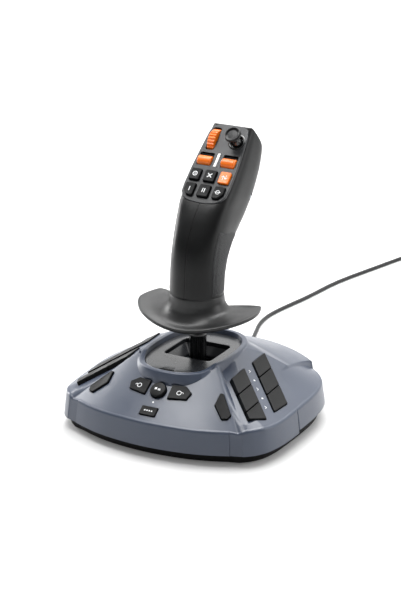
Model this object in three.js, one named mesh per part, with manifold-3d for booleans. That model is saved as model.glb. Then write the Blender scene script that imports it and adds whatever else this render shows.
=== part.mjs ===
// Flight joystick with a wide desk base: millimetres, +X right, -Y towards the user, +Z up,
// origin on the table under the middle of the base.
import * as THREE from 'three';
import { mergeVertices } from 'three/addons/utils/BufferGeometryUtils.js';
import Module from 'manifold-3d';

const wasm = await Module();
wasm.setup();

// ---------------------------------------------------------------- driving dimensions
const GAP = 0.3;

// Plan of the base: half of the outline at the top of its wall, from the front to the back.
const OUTLINE = [
  [0, -111], [24, -109.5], [47, -105.7], [66, -99.8], [81, -93.5], [91.5, -90], [100, -82],
  [107, -69], [110.8, -50], [112, -25], [112, 8], [109.5, 35], [104, 54], [95, 69], [83, 81],
  [60, 96], [30, 107.5], [0, 111],
];
const WALL_DRAFT = 3;
const WALL = 2.6;
const SEAM_Y = -17;
const SKIRT_FRONT_Z = 11;
const SKIRT_REAR_Z = 14;
const SIDES = 56;

const NECK_Y = -13;
const NECK = { w: 44, l: 61 };
const BEZEL = { w: 38, l: 55, top: 70, thick: 4 };
const NECK_POWER = 2.6;
const FOOT = { r: 9, h: 1.7, x: 78, front: -72, rear: 62 };
const TRAY_Z = FOOT.h + GAP;
const FLOOR_Z = TRAY_Z + 2.5;

// Stick: pivot of the gimbal, shaft and the ring where the grip meets the hand rest.
const PIVOT = new THREE.Vector3(0, -5, 40);
const SHAFT_R = 8.4;
const BORE_R = 9;
const WELL = { y: -6, w: 25, l: 23, floorW: 17.6, floorL: 17.6, bottom: 57 };
const RING_Z = 121;

// Grip sections: height, front y, back y, half width and squareness.
const GRIP = [
  [RING_Z, -32, 17, 25.6, 2.1], [133, -31.5, 17.5, 25.2, 2.2], [147, -30.5, 19.5, 24.8, 2.3],
  [161, -29.3, 25, 24.6, 2.5], [174, -27, 35, 24.6, 2.7], [184, -23.5, 46, 25, 2.9],
  [194, -18.5, 56.5, 25.8, 3.1], [205, -11.8, 65.5, 26.4, 3.4], [216, -3.5, 72.5, 26.8, 3.8],
  [232, 14.5, 81.5, 26.4, 4], [247, 31, 88, 25.2, 4], [259, 44, 89.5, 23.8, 4],
  [268, 54, 87, 22.4, 3.8], [274, 61.5, 80, 21, 3.4],
];
const HEAD_TOP = 90;
const GRIP_SIDES = 30;
const GRIP_WALL = 3;

// Rubber pads on the sides of the grip, from one direction round it to another.
const PAD = { from: -0.52, to: 1.25, low: 130, highFront: 192, highBack: 172, thick: 1.6 };
// Screw heads sit in bores that open on the right side of the head.
const SCREWS = [new THREE.Vector3(22.6, 75, 232.5), new THREE.Vector3(24.6, 53.5, 210)];
// The trigger lies on a frame in the back of the head that faces away from the user.
const TRIGGER = { y: 62, z: 190, q: 40, w: 18, l: 34, low: -7, high: 9 };

// Hand rest: each ring's reach at the front, the side tips and the back, and its heights there.
const REST_Y = -7.4;
const REST = [
  [17, 17, 17, 102.5, 102.5, 102.5], [28, 34, 22, 98.5, 104, 103], [36.5, 58, 24.5, 99, 110.5, 108],
  [39.5, 61, 26, 102, 114, 111], [38.5, 59.5, 25.6, 104, 115.4, 113], [32, 47, 25, 106.6, 113.4, 114],
  [27.4, 33, 24.9, 112.5, 113.2, 116], [25.6, 26.6, 24.6, 119, 118.5, 119],
  [24.6, 25.2, 24.2, 120.7, 120.7, 120.7],
];

// Face of the head: a plane that climbs away from the user, with p across it and q up it.
const FACE_ORIGIN = new THREE.Vector3(0, -2.5, 214.5);
const FACE_SLOPE = new THREE.Vector3(0, 65.9, 60.3).normalize();
const FACE_NORMAL = new THREE.Vector3(1, 0, 0).cross(FACE_SLOPE);
const PLATE_THICK = 2.5;
const PLATE = [
  [0, 0.8], [13, 2], [20, 5.4], [23.4, 11], [24, 20], [23.7, 38], [22.4, 58], [20.8, 78],
  [18.6, 85.5], [13.5, 88.3], [0, 89],
];
const KEY_COLUMNS = [-15.5, 0, 15.5];
const ROCKER = { p: 12.6, q: 48.6, w: 14.6, l: 13.6, r: 6.6, sunk: 2.4 };
const WHEEL = { p: -13, q: 71.5, w: 7.4, r: 13, sunk: 7.6, slot: 25.4 };
const MINI = { p: 12, q: 71, hole: 6.8, cap: 8.2, top: 14.5 };
const LIGHT = { p: -0.4, q: 48.6, w: 2.8, l: 15 };

// Keys of the base: the wings fall away from the middle and the front panel is a cone.
const WING = { top: 97, fall: 0.56, rise: 0.05, skew: 0.92 };
const PANEL = { y: 74, r: 184.7, z: 33, slope: 0.7 };
const KEY_CLEAR = 0.4;
const WING_ROWS = [
  { near: 7.8, far: 34.4, first: 55.8, nearEnd: 92, farEnd: 101.5 },
  { near: 49.4, far: 75.6, first: 56.4, nearEnd: 101, farEnd: 102.8 },
];
const WING_SPLITS = [70.6, 86];

const CORD_R = 2;
const CORD_END = new THREE.Vector3(0, 585, CORD_R + 0.1);
const COIL = { outer: 34, inner: 13.6, low: 0.1, high: 8.3 };
const GLAND = { x: -30, y: 103, z: 17 };

// ---------------------------------------------------------------- materials
const paint = (color, roughness, metalness = 0) => new THREE.MeshStandardMaterial({
  color, roughness, metalness, side: THREE.DoubleSide,
});
const SLATE = paint('#4d5a73', 0.45);
const BLACK = paint('#141517', 0.5);
const GLOSS = paint('#1b1c1e', 0.25);
const KEY = paint('#24262a', 0.4);
const ORANGE = paint('#f0661a', 0.4);
const RUBBER = paint('#1c1d1f', 0.85);
const STEEL = paint('#8d9196', 0.35, 0.9);
const BOARD = paint('#1d4a34', 0.6);
const CLEAR = paint('#e8ecef', 0.2);
const CORD = paint('#2a2b2d', 0.6);

// ---------------------------------------------------------------- solids
const group = new THREE.Group();

function add(name, geometry, material) {
  const mesh = new THREE.Mesh(geometry, material);
  mesh.name = name;
  group.add(mesh);
}

function toManifold(geometry) {
  const bare = geometry.clone();
  bare.deleteAttribute('normal');
  bare.deleteAttribute('uv');
  const merged = mergeVertices(bare, 1e-4);
  return new wasm.Manifold(new wasm.Mesh({
    numProp: 3,
    vertProperties: new Float32Array(merged.attributes.position.array),
    triVerts: new Uint32Array(merged.index.array),
  }));
}

function toGeometry(manifold) {
  const mesh = manifold.getMesh();
  const geometry = new THREE.BufferGeometry();
  geometry.setAttribute('position', new THREE.BufferAttribute(mesh.vertProperties, 3));
  geometry.setIndex(new THREE.BufferAttribute(mesh.triVerts, 1));
  geometry.computeVertexNormals();
  return geometry;
}

const cut = (body, ...tools) => toGeometry(
  tools.reduce((rest, tool) => rest.subtract(toManifold(tool)), toManifold(body)));
const join = (...bodies) => toGeometry(bodies.map(toManifold).reduce((all, body) => all.add(body)));
const overlap = (a, b) => toGeometry(toManifold(a).intersect(toManifold(b)));

// A skin through rings of points, capped at both ends or closed on itself.
function loft(rings, closed = false) {
  const count = rings[0].length;
  const points = rings.flat();
  const faces = [];
  const bands = closed ? rings.length : rings.length - 1;
  for (let band = 0; band < bands; band += 1) {
    const low = band * count;
    const high = ((band + 1) % rings.length) * count;
    for (let i = 0; i < count; i += 1) {
      const j = (i + 1) % count;
      faces.push(low + i, low + j, high + j, low + i, high + j, high + i);
    }
  }
  if (!closed) {
    const ends = [[rings[0], 0, true], [rings.at(-1), (rings.length - 1) * count, false]];
    for (const [ring, start, first] of ends) {
      const middle = ring.reduce((sum, point) => sum.add(point), new THREE.Vector3());
      points.push(middle.divideScalar(count));
      for (let i = 0; i < count; i += 1) {
        const j = (i + 1) % count;
        const [a, b] = first ? [start + j, start + i] : [start + i, start + j];
        faces.push(a, b, points.length - 1);
      }
    }
  }
  const geometry = new THREE.BufferGeometry().setFromPoints(points);
  geometry.setIndex(faces);
  geometry.computeVertexNormals();
  return geometry;
}

function mirrored(geometry) {
  const copy = geometry.clone().applyMatrix4(new THREE.Matrix4().makeScale(-1, 1, 1));
  const count = copy.attributes.position.count;
  const order = copy.index ? Array.from(copy.index.array) : [...Array(count).keys()];
  for (let i = 0; i < order.length; i += 3) {
    [order[i], order[i + 1]] = [order[i + 1], order[i]];
  }
  copy.setIndex(order);
  copy.computeVertexNormals();
  return copy;
}

function box(x0, x1, y0, y1, z0, z1) {
  return new THREE.BoxGeometry(x1 - x0, y1 - y0, z1 - z0)
    .translate((x0 + x1) / 2, (y0 + y1) / 2, (z0 + z1) / 2);
}

// A cylinder between two heights, standing along one axis through a point.
function rod(r, from, to, axis = 'z', centre = new THREE.Vector3(), sides = 16) {
  const geometry = new THREE.CylinderGeometry(r, r, to - from, sides).translate(0, (from + to) / 2, 0);
  if (axis === 'z') {
    geometry.rotateX(Math.PI / 2);
  }
  if (axis === 'x') {
    geometry.rotateZ(-Math.PI / 2);
  }
  return geometry.translate(centre.x, centre.y, centre.z);
}

// A prism on a frame: the outline lies on the frame's plane, from height `low` to `high`.
function prism(outline, frame, low, high, bevel = 0) {
  const shape = new THREE.Shape(outline.map(([x, y]) => new THREE.Vector2(x, y)));
  const options = { depth: high - low - 2 * bevel, bevelEnabled: bevel > 0, steps: 1 };
  Object.assign(options, {
    bevelSize: bevel, bevelThickness: bevel, bevelOffset: -bevel, bevelSegments: 1,
  });
  return new THREE.ExtrudeGeometry(shape, options).translate(0, 0, low + bevel).applyMatrix4(frame);
}

function frameAt(origin, across, normal) {
  const x = across.clone().normalize();
  const z = normal.clone().normalize();
  const y = z.clone().cross(x);
  return new THREE.Matrix4().makeBasis(x, y, z).setPosition(origin);
}

// Moves every edge of a convex outline in by `inset`, or out if it is negative.
function inset(outline, amount) {
  const points = outline.map(([x, y]) => new THREE.Vector2(x, y));
  const turn = THREE.ShapeUtils.area(points) > 0 ? 1 : -1;
  return points.map((point, i) => {
    const before = point.clone().sub(points.at(i - 1)).normalize();
    const after = points[(i + 1) % points.length].clone().sub(point).normalize();
    const inA = new THREE.Vector2(-before.y, before.x).multiplyScalar(turn);
    const inB = new THREE.Vector2(-after.y, after.x).multiplyScalar(turn);
    const bisector = inA.clone().add(inB);
    const scale = 2 / bisector.lengthSq();
    const moved = point.clone().add(bisector.multiplyScalar(scale * amount));
    return [moved.x, moved.y];
  });
}

const rectangle = (x, y, w, l) => [
  [x - w / 2, y - l / 2], [x + w / 2, y - l / 2], [x + w / 2, y + l / 2], [x - w / 2, y + l / 2],
];

const circle = (x, y, r, sides = 20) => [...Array(sides).keys()].map((i) => {
  const angle = (2 * Math.PI * i) / sides;
  return [x + r * Math.cos(angle), y + r * Math.sin(angle)];
});

const bothSides = (half) => [
  ...half, ...half.slice(1, -1).reverse().map(([x, y]) => [-x, y]),
];

const { clamp, lerp, smoothstep } = THREE.MathUtils;

// ---------------------------------------------------------------- form of the base
const outline = bothSides(OUTLINE);
const NECK_ANGLES = [...Array(SIDES).keys()].map((i) => (2 * Math.PI * i) / SIDES);

// Distance from the middle of the neck to the outline in one direction.
function reach(angle) {
  const dx = Math.cos(angle);
  const dy = Math.sin(angle);
  let best = 0;
  outline.forEach(([ax, ay], i) => {
    const [bx, by] = outline[(i + 1) % outline.length];
    const ex = bx - ax;
    const ey = by - ay;
    const cross = dx * ey - dy * ex;
    const t = (ax * ey - (ay - NECK_Y) * ex) / cross;
    const s = (ax * dy - (ay - NECK_Y) * dx) / cross;
    if (t > 0 && s >= -1e-9 && s <= 1 + 1e-9) {
      best = Math.max(best, t);
    }
  });
  return best;
}

function neckReach(angle, w, l) {
  const x = Math.abs(Math.cos(angle) / w) ** NECK_POWER;
  const y = Math.abs(Math.sin(angle) / l) ** NECK_POWER;
  return (x + y) ** (-1 / NECK_POWER);
}

const polar = (angle, r, z) => new THREE.Vector3(
  r * Math.cos(angle), NECK_Y + r * Math.sin(angle), z);

const panelHeight = (x, y) => PANEL.z + PANEL.slope * (PANEL.r - Math.hypot(x, y - PANEL.y));
const wingHeight = (x, y) => WING.top - WING.fall * Math.abs(x) + WING.rise * y;

// Share of the raised rear plateau at a point, which ends in a lip on each side.
const plateau = (x, y) => smoothstep(79 - Math.abs(x), 0, 3) * smoothstep(y, 14, 26);

function topHeight(x, y) {
  const angle = Math.atan2(y - NECK_Y, x);
  const inside = reach(angle) - Math.hypot(x, y - NECK_Y);
  const rear = 44 + 0.43 * (105 - Math.hypot(x, y - 5)) + 3 * (1 - smoothstep(y, 20, 40));
  const roof = Math.min(wingHeight(x, y), rear);
  const lobe = Math.min(roof, 34 + 0.58 * inside);
  const flank = lerp(lobe, roof, plateau(x, y));
  const front = clamp((6 - y - Math.abs(x)) / 8, 0, 1);
  return lerp(flank, panelHeight(x, y), front);
}

const hemHeight = (angle) => (
  NECK_Y + reach(angle) * Math.sin(angle) < SEAM_Y ? SKIRT_FRONT_Z : SKIRT_REAR_Z);

const neckRim = (angle) => BEZEL.top + 0.4 + 4 * smoothstep(Math.sin(angle), -0.85, -0.55);

function topRing(share, drop) {
  return NECK_ANGLES.map((angle) => {
    const r = lerp(reach(angle) - 1.2, neckReach(angle, NECK.w, NECK.l) + 1, share);
    const x = r * Math.cos(angle);
    const y = NECK_Y + r * Math.sin(angle);
    return polar(angle, r, topHeight(x, y) - drop);
  });
}

const neckRing = (w, l, height) => NECK_ANGLES.map((angle) => (
  polar(angle, neckReach(angle, w, l), height(angle))));

function edgeRing(grow, height) {
  return NECK_ANGLES.map((angle) => {
    const r = reach(angle);
    const wallTop = topHeight((r - 2) * Math.cos(angle), NECK_Y + (r - 2) * Math.sin(angle));
    return polar(angle, r + grow, height(angle, wallTop));
  });
}

function shellBlank() {
  const shares = [0, 0.12, 0.26, 0.42, 0.58, 0.74, 0.88, 1];
  const skin = shares.map((share) => topRing(share, 0));
  const lining = [0.96, 0.72, 0.48, 0.24, 0.06].map((share) => topRing(share, 3.1));
  const { w, l, top, thick } = BEZEL;
  const seat = top - thick - GAP;
  return loft([
    edgeRing(WALL_DRAFT, hemHeight),
    edgeRing(0.4, (angle, wallTop) => wallTop - 2.6),
    ...skin,
    neckRing(w + 4.5, l + 4.5, neckRim),
    neckRing(w + GAP, l + GAP, neckRim),
    neckRing(w + GAP, l + GAP, () => seat),
    neckRing(w - 4, l - 4, () => seat),
    neckRing(w - 4, l - 4, () => seat - 3),
    neckRing(w + 3, l + 3, () => seat - 5.5),
    ...lining,
    edgeRing(-WALL, (angle, wallTop) => wallTop - 4.5),
    edgeRing(WALL_DRAFT - WALL, hemHeight),
  ], true);
}

// ---------------------------------------------------------------- keys of the base
function wingFrame() {
  const normal = new THREE.Vector3(WING.fall, -WING.rise, 1);
  return frameAt(new THREE.Vector3(0, 0, WING.top), new THREE.Vector3(1, 0, -WING.fall), normal);
}

// Turns plan points into points on a sloping frame's own plane.
function onto(frame, height, plan) {
  const back = frame.clone().invert();
  return plan.map(([x, y]) => {
    const point = new THREE.Vector3(x, y, height(x, y)).applyMatrix4(back);
    return [point.x, point.y];
  });
}

// One column of the wing: its front edge, its back edge and the cuts between its keys.
function wingColumn({ near, far, first, nearEnd, farEnd }) {
  const at = (x, w) => [x, w - WING.skew * x];
  const cuts = [first, ...WING_SPLITS];
  const keys = cuts.map((x0, i) => {
    if (i < 2) {
      return [at(x0, near), at(cuts[i + 1], near), at(cuts[i + 1], far), at(x0, far)];
    }
    return [at(x0, near), at(nearEnd, near), at(farEnd, far), at(x0, far)];
  });
  return { outline: [at(first, near), at(nearEnd, near), at(farEnd, far), at(first, far)], keys };
}

function panelFrame(x, y) {
  const out = new THREE.Vector3(x, y - PANEL.y, 0).normalize().multiplyScalar(PANEL.slope);
  const normal = new THREE.Vector3(out.x, out.y, 1);
  const across = new THREE.Vector3(0, 1, 0).cross(normal);
  return frameAt(new THREE.Vector3(x, y, panelHeight(x, y)), across, normal);
}

const PANEL_KEYS = [
  { name: 'panel_key_round', at: [0, -81], plan: circle(0, -81, 8.2, 24), rise: 3.4 },
  { name: 'panel_key_mode', at: [0, -100], plan: rectangle(0, -100, 17.5, 8.6), rise: 1.4 },
  {
    name: 'panel_key_right',
    at: [21.5, -79],
    plan: [[11.4, -86.6], [30.5, -82.6], [32.6, -75.5], [24.4, -71.2], [10.8, -73.4]],
    rise: 1.8,
  },
  {
    name: 'panel_key_outer_right',
    at: [66, -76],
    plan: [[56.6, -65.6], [60, -64.8], [75.4, -79], [74, -83.6], [68.6, -86.4], [56.6, -77.4]].reverse(),
    rise: 1.8,
  },
];

function baseKeys() {
  const holes = [];
  const wing = wingFrame();
  WING_ROWS.forEach((row, column) => {
    const { outline: edge, keys } = wingColumn(row);
    const hole = prism(onto(wing, wingHeight, edge), wing, -12, 12);
    holes.push(hole, mirrored(hole));
    keys.forEach((plan, i) => {
      const body = prism(inset(onto(wing, wingHeight, plan), KEY_CLEAR), wing, -4.2, 1.6, 0.7);
      add(`wing_key_right_${column + 1}${i + 1}`, body, KEY);
      add(`wing_key_left_${column + 1}${i + 1}`, mirrored(body), KEY);
    });
  });
  for (const { name, at, plan, rise } of PANEL_KEYS) {
    const frame = panelFrame(...at);
    const flat = onto(frame, panelHeight, plan);
    const hole = prism(flat, frame, -9, 12);
    const body = prism(inset(flat, KEY_CLEAR), frame, -4.6, rise, 0.7);
    holes.push(hole);
    add(name, body, KEY);
    if (name.endsWith('right')) {
      holes.push(mirrored(hole));
      add(name.replace('right', 'left'), mirrored(body), KEY);
    }
  }
  return holes;
}

function keyMats() {
  const wing = wingFrame();
  const near = WING_ROWS[0].near - 4;
  const far = WING_ROWS[1].far + 2;
  const plan = [[54, near - 54 * WING.skew], [91, near - 91 * WING.skew + 3],
    [99, far - 99 * WING.skew - 6], [54, far - 54 * WING.skew]];
  const mat = prism(onto(wing, wingHeight, plan), wing, -10, -8);
  add('key_mat_right', mat, RUBBER);
  add('key_mat_left', mirrored(mat), RUBBER);
}

// ---------------------------------------------------------------- base
function trayRing(grow, z) {
  return NECK_ANGLES.map((angle) => polar(angle, reach(angle) + grow, z));
}

function base() {
  const outlet = rod(4.6, 90, 130, 'y', new THREE.Vector3(GLAND.x, 0, GLAND.z));
  add('base_top_shell', cut(shellBlank(), ...baseKeys(), outlet), SLATE);
  const small = NECK_ANGLES.map((angle) => polar(angle, 6, TRAY_Z));
  const tray = loft([
    small, trayRing(-4.2, TRAY_Z), trayRing(-1.7, 8.4), trayRing(-1.7, 15),
    trayRing(-4.2, 15), trayRing(-4.4, 8.6), trayRing(-6.8, FLOOR_Z),
    NECK_ANGLES.map((angle) => polar(angle, 6, FLOOR_Z)),
  ]);
  add('base_lower_shell', cut(tray, outlet), BLACK);
  for (const [name, x, y] of [['front_left', -1, FOOT.front], ['front_right', 1, FOOT.front],
    ['rear_left', -1, FOOT.rear], ['rear_right', 1, FOOT.rear]]) {
    const centre = new THREE.Vector3(x * FOOT.x, y, 0);
    add(`foot_${name}`, rod(FOOT.r, 0, FOOT.h, 'z', centre, 20), RUBBER);
  }
  add('ballast_plate', box(-58, 58, -88, -36, FLOOR_Z + GAP, FLOOR_Z + 6), STEEL);
  add('base_board', box(-48, 48, 34, 84, FLOOR_Z + 2, FLOOR_Z + 3.6), BOARD);
}

function bezel() {
  const { w, l, top, thick } = BEZEL;
  const outer = (z) => neckRing(w, l, () => z);
  const plate = loft([outer(top - thick), outer(top)]);
  const { y } = WELL;
  const hole = box(-WELL.w, WELL.w, y - WELL.l, y + WELL.l, top - 9, top + 9);
  const notch = box(-7.5, 7.5, NECK_Y - l - 2, NECK_Y - l + 4.5, top - 9, top + 9);
  add('bezel_plate', cut(plate, hole, notch), GLOSS);
  const corner = (half, long, z) => [[-1, -1], [1, -1], [1, 1], [-1, 1]].map(([i, j]) => (
    new THREE.Vector3(i * half, y + j * long, z)));
  const high = top - thick - 2 * GAP;
  const well = loft([
    corner(WELL.w + 4, WELL.l + 4, high), corner(WELL.w - 0.6, WELL.l - 0.6, high),
    corner(WELL.floorW, WELL.floorL, WELL.bottom), corner(WELL.floorW + 4, WELL.floorL + 4, WELL.bottom),
  ], true);
  add('well_funnel', well, GLOSS);
}

// ---------------------------------------------------------------- gimbal
function gimbal() {
  const z = PIVOT.z;
  const post = (side) => box(side * 30 - 4, side * 30 + 4, -15, 5, FLOOR_Z + GAP, z + 8);
  const cradle = join(box(-34, 34, -20, 10, FLOOR_Z + GAP, FLOOR_Z + 5), post(-1), post(1));
  add('gimbal_cradle', cut(cradle, rod(3.3, -40, 40, 'x', PIVOT)), BLACK);
  const y = PIVOT.y;
  const ring = cut(box(-22, 22, y - 21, y + 21, z - 5, z + 5), box(-16, 16, y - 15, y + 15, z - 9, z + 9));
  const pins = [rod(3, 21, 33, 'x', PIVOT), rod(3, -33, -21, 'x', PIVOT)];
  add('gimbal_yoke', cut(join(ring, ...pins), rod(2.8, -30, 30, 'y', PIVOT)), STEEL);
  const hub = join(
    box(-10, 10, y - 10, y + 10, z - 8, z + 8), rod(2.5, -20, 20, 'y', PIVOT),
    rod(SHAFT_R, 0, RING_Z + 34 - z, 'z', PIVOT, 28));
  add('stick_shaft', hub, BLACK);
  const cup = [[10.6, 0], [13.4, 0], [12.2, 9], [10.2, 9], [10.6, 0]];
  const collar = cup.map(([r, h]) => new THREE.Vector2(r, h));
  const skirt = new THREE.LatheGeometry(collar, 28).rotateX(Math.PI / 2);
  add('rest_collar', skirt.translate(PIVOT.x, PIVOT.y, 93), BLACK);
}

// ---------------------------------------------------------------- grip
function gripSection(z) {
  const last = GRIP.length - 1;
  const above = GRIP.findIndex(([height], i) => i === last || (i > 0 && height >= z));
  const [low, high] = [GRIP[above - 1], GRIP[above]];
  const share = (z - low[0]) / (high[0] - low[0]);
  const [, front, back, half, power] = low.map((value, i) => lerp(value, high[i], share));
  return { middle: (front + back) / 2, depth: (back - front) / 2, half, power };
}

const bulge = (value, power) => Math.sign(value) * Math.abs(value) ** (2 / power);

function gripPoint(z, angle, grow) {
  const { middle, depth, half, power } = gripSection(z);
  const x = (half + grow) * bulge(Math.cos(angle), power);
  return new THREE.Vector3(x, middle + (depth + grow) * bulge(Math.sin(angle), power), z);
}

const gripRing = (z, grow, sides = GRIP_SIDES) => [...Array(sides).keys()].map((i) => (
  gripPoint(z, (2 * Math.PI * (i + 0.5)) / sides, grow)));

function gripBlank(grow, low, high) {
  const heights = GRIP.map(([z]) => z).filter((z) => z > low + 1 && z < high - 1);
  const top = gripRing(high, grow - 2.5).map((point) => point.setZ(high + 2.3 + grow * 0.5));
  return loft([gripRing(low, grow), ...heights.map((z) => gripRing(z, grow)), gripRing(high, grow), top]);
}

const faceFrame = frameAt(FACE_ORIGIN, new THREE.Vector3(1, 0, 0), FACE_NORMAL);

// A wedge of the grip's skin on one side, between two heights and two directions.
function padRegion(side, spare) {
  const [from, to] = [PAD.from - spare / 25, PAD.to + spare / 25];
  const steps = 6;
  const levels = 4;
  const point = (i, k, grow) => {
    const high = lerp(PAD.highFront, PAD.highBack, i / steps) + spare;
    const z = lerp(PAD.low - spare, high, k / levels);
    const spot = gripPoint(z, lerp(from, to, i / steps), grow);
    return spot.setX(spot.x * side);
  };
  const rows = [...Array(levels + 1).keys()].map((k) => {
    const arc = (grow) => [...Array(steps + 1).keys()].map((i) => point(i, k, grow));
    const row = [...arc(5), ...arc(-6).reverse()];
    return side > 0 ? row : row.reverse();
  });
  return loft(rows);
}

function grip() {
  const high = GRIP.at(-1)[0];
  const plate = bothSides(PLATE);
  const hollow = gripBlank(-GRIP_WALL, RING_Z + 4, high - 5);
  const cutters = [
    prism(rectangle(0, 45, 90, 130), faceFrame, 0, 40),
    prism(rectangle(0, HEAD_TOP + 20, 90, 40), faceFrame, -80, 40),
    prism(inset(plate, -GAP), faceFrame, -PLATE_THICK - GAP, 30),
    prism(inset(plate, 2.6), faceFrame, -16, 1),
    hollow,
    rod(BORE_R, RING_Z - 5, RING_Z + 20, 'z', new THREE.Vector3(0, PIVOT.y, 0), 28),
    prism(rectangle(0, TRIGGER.q, TRIGGER.w + 1.4, TRIGGER.l + 2), triggerFrame(), -12, 20),
    ...[1, -1].map((side) => cut(padRegion(side, GAP * 2), gripBlank(-PAD.thick, RING_Z, high))),
    ...SCREWS.map((spot) => rod(3.2, -1.8, 20, 'x', spot)),
  ];
  const body = cut(gripBlank(0, RING_Z, high), ...cutters);
  const half = (side) => {
    const [from, to] = side > 0 ? [GAP / 2, 60] : [-60, -GAP / 2];
    return overlap(body, box(from, to, -80, 140, 90, 300));
  };
  add('grip_shell_left', half(-1), BLACK);
  add('grip_shell_right', half(1), BLACK);
  const skin = cut(gripBlank(0.2, RING_Z, high), gripBlank(GAP - PAD.thick, RING_Z - 1, high));
  for (const [name, side] of [['left', -1], ['right', 1]]) {
    add(`grip_pad_${name}`, overlap(skin, padRegion(side, 0)), RUBBER);
  }
  SCREWS.forEach((spot, i) => {
    const socket = rod(1.2, -0.9, 5, 'x', spot, 6);
    add(`grip_screw_${i + 1}`, cut(rod(2.8, -1.5, -0.3, 'x', spot), socket), STEEL);
  });
}

function handRest() {
  const sides = 36;
  const ring = (front, side, back, zFront, zSide, zBack) => [...Array(sides).keys()].map((i) => {
    const angle = (2 * Math.PI * i) / sides;
    const forward = Math.max(0, -Math.sin(angle)) ** 1.4;
    const behind = smoothstep(Math.sin(angle), 0.42, 0.66);
    const r = lerp(lerp(side, front, forward), back, behind);
    const z = lerp(lerp(zSide, zFront, forward), zBack, behind);
    return new THREE.Vector3(r * Math.cos(angle), REST_Y + r * Math.sin(angle), z);
  });
  const bore = (z) => ring(BORE_R, BORE_R, BORE_R, z, z, z);
  const offset = PIVOT.y - REST_Y;
  const centre = (points) => points.map((point) => point.setY(point.y + offset));
  const skin = REST.map((reaches) => ring(...reaches));
  const geometry = loft([centre(bore(103.5)), ...skin, centre(bore(120.7))], true);
  add('hand_rest', geometry, BLACK);
}

// ---------------------------------------------------------------- face controls
function faceControls() {
  const plate = prism(bothSides(PLATE), faceFrame, -PLATE_THICK, 0);
  const holes = [
    rectangle(LIGHT.p, LIGHT.q, LIGHT.w + 0.6, LIGHT.l + 0.6),
    rectangle(WHEEL.p, WHEEL.q, WHEEL.w + 1.4, WHEEL.slot),
    circle(MINI.p, MINI.q, MINI.hole),
  ];
  for (const side of [-1, 1]) {
    holes.push(rectangle(side * ROCKER.p, ROCKER.q, ROCKER.w + 0.8, ROCKER.l + 0.8));
  }
  const rows = [{ q: 30, h: 12.4, name: 'upper' }, { q: 13.4, h: 13.2, name: 'lower' }];
  for (const { q, h, name } of rows) {
    KEY_COLUMNS.forEach((p, i) => {
      const w = i === 1 ? 11.6 : 10.6;
      const key = rectangle(p, q, w, h);
      if (name === 'lower' && i !== 1) {
        const side = Math.sign(p);
        const corner = key.findIndex(([x, y]) => Math.sign(x - p) === side && y < q);
        const [cx, cy] = key[corner];
        const rounded = [[cx - side * 4.2, cy], [cx, cy + 5.4]];
        key.splice(corner, 1, ...(side > 0 ? rounded : rounded.reverse()));
      }
      holes.push(inset(key, -KEY_CLEAR));
      const colour = name === 'upper' && i === 2 ? ORANGE : KEY;
      add(`grip_key_${name}_${i + 1}`, prism(key, faceFrame, -5, 2.6, 0.8), colour);
    });
  }
  add('face_plate', cut(plate, ...holes.map((hole) => prism(hole, faceFrame, -9, 9))), KEY);
  add('light_bar', prism(rectangle(LIGHT.p, LIGHT.q, LIGHT.w, LIGHT.l), faceFrame, -3, 0.4), CLEAR);
  rockers();
  thumbWheel();
  miniStick();
}

const onFace = (p, q, h) => new THREE.Vector3(p, q, h).applyMatrix4(faceFrame);

function drum(r, w, sides, centre) {
  const turn = new THREE.Matrix4().extractRotation(faceFrame);
  return rod(r, -w / 2, w / 2, 'x', new THREE.Vector3(), sides)
    .applyMatrix4(turn).translate(centre.x, centre.y, centre.z);
}

function rockers() {
  for (const [name, side] of [['left', -1], ['right', 1]]) {
    const centre = onFace(side * ROCKER.p, ROCKER.q, -ROCKER.sunk);
    add(`rocker_${name}`, drum(ROCKER.r, ROCKER.w, 28, centre), ORANGE);
  }
}

function thumbWheel() {
  const centre = onFace(WHEEL.p, WHEEL.q, -WHEEL.sunk);
  add('thumb_wheel', drum(WHEEL.r, WHEEL.w, 36, centre), ORANGE);
}

function miniStick() {
  const profile = [
    [0, -8], [3.2, -8], [3.2, -1.5], [2.4, 1], [2.4, 8.5], [MINI.cap - 1.6, 10.6],
    [MINI.cap, 12], [MINI.cap - 0.6, MINI.top], [MINI.cap - 2.6, MINI.top - 0.9], [0, MINI.top - 1.2],
  ].map(([r, h]) => new THREE.Vector2(r, h));
  const stand = new THREE.Matrix4().multiplyMatrices(faceFrame, new THREE.Matrix4()
    .makeRotationX(Math.PI / 2).setPosition(MINI.p, MINI.q, 0));
  add('mini_stick', new THREE.LatheGeometry(profile, 24).applyMatrix4(stand), KEY);
  const ring = [[3.8, -5.2], [5.6, -5.2], [5.6, -2.8], [3.8, -2.8], [3.8, -5.2]]
    .map(([r, h]) => new THREE.Vector2(r, h));
  add('mini_stick_ring', new THREE.LatheGeometry(ring, 24).applyMatrix4(stand), STEEL);
}

function triggerFrame() {
  const place = new THREE.Vector3(0, TRIGGER.y, TRIGGER.z);
  return frameAt(place, new THREE.Vector3(-1, 0, 0), new THREE.Vector3(0, 0.93, -0.37));
}

function trigger() {
  const { q, w, l, low, high } = TRIGGER;
  const body = prism(rectangle(0, q, w, l), triggerFrame(), low, high, 1.5);
  add('trigger', body, KEY);
}

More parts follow.
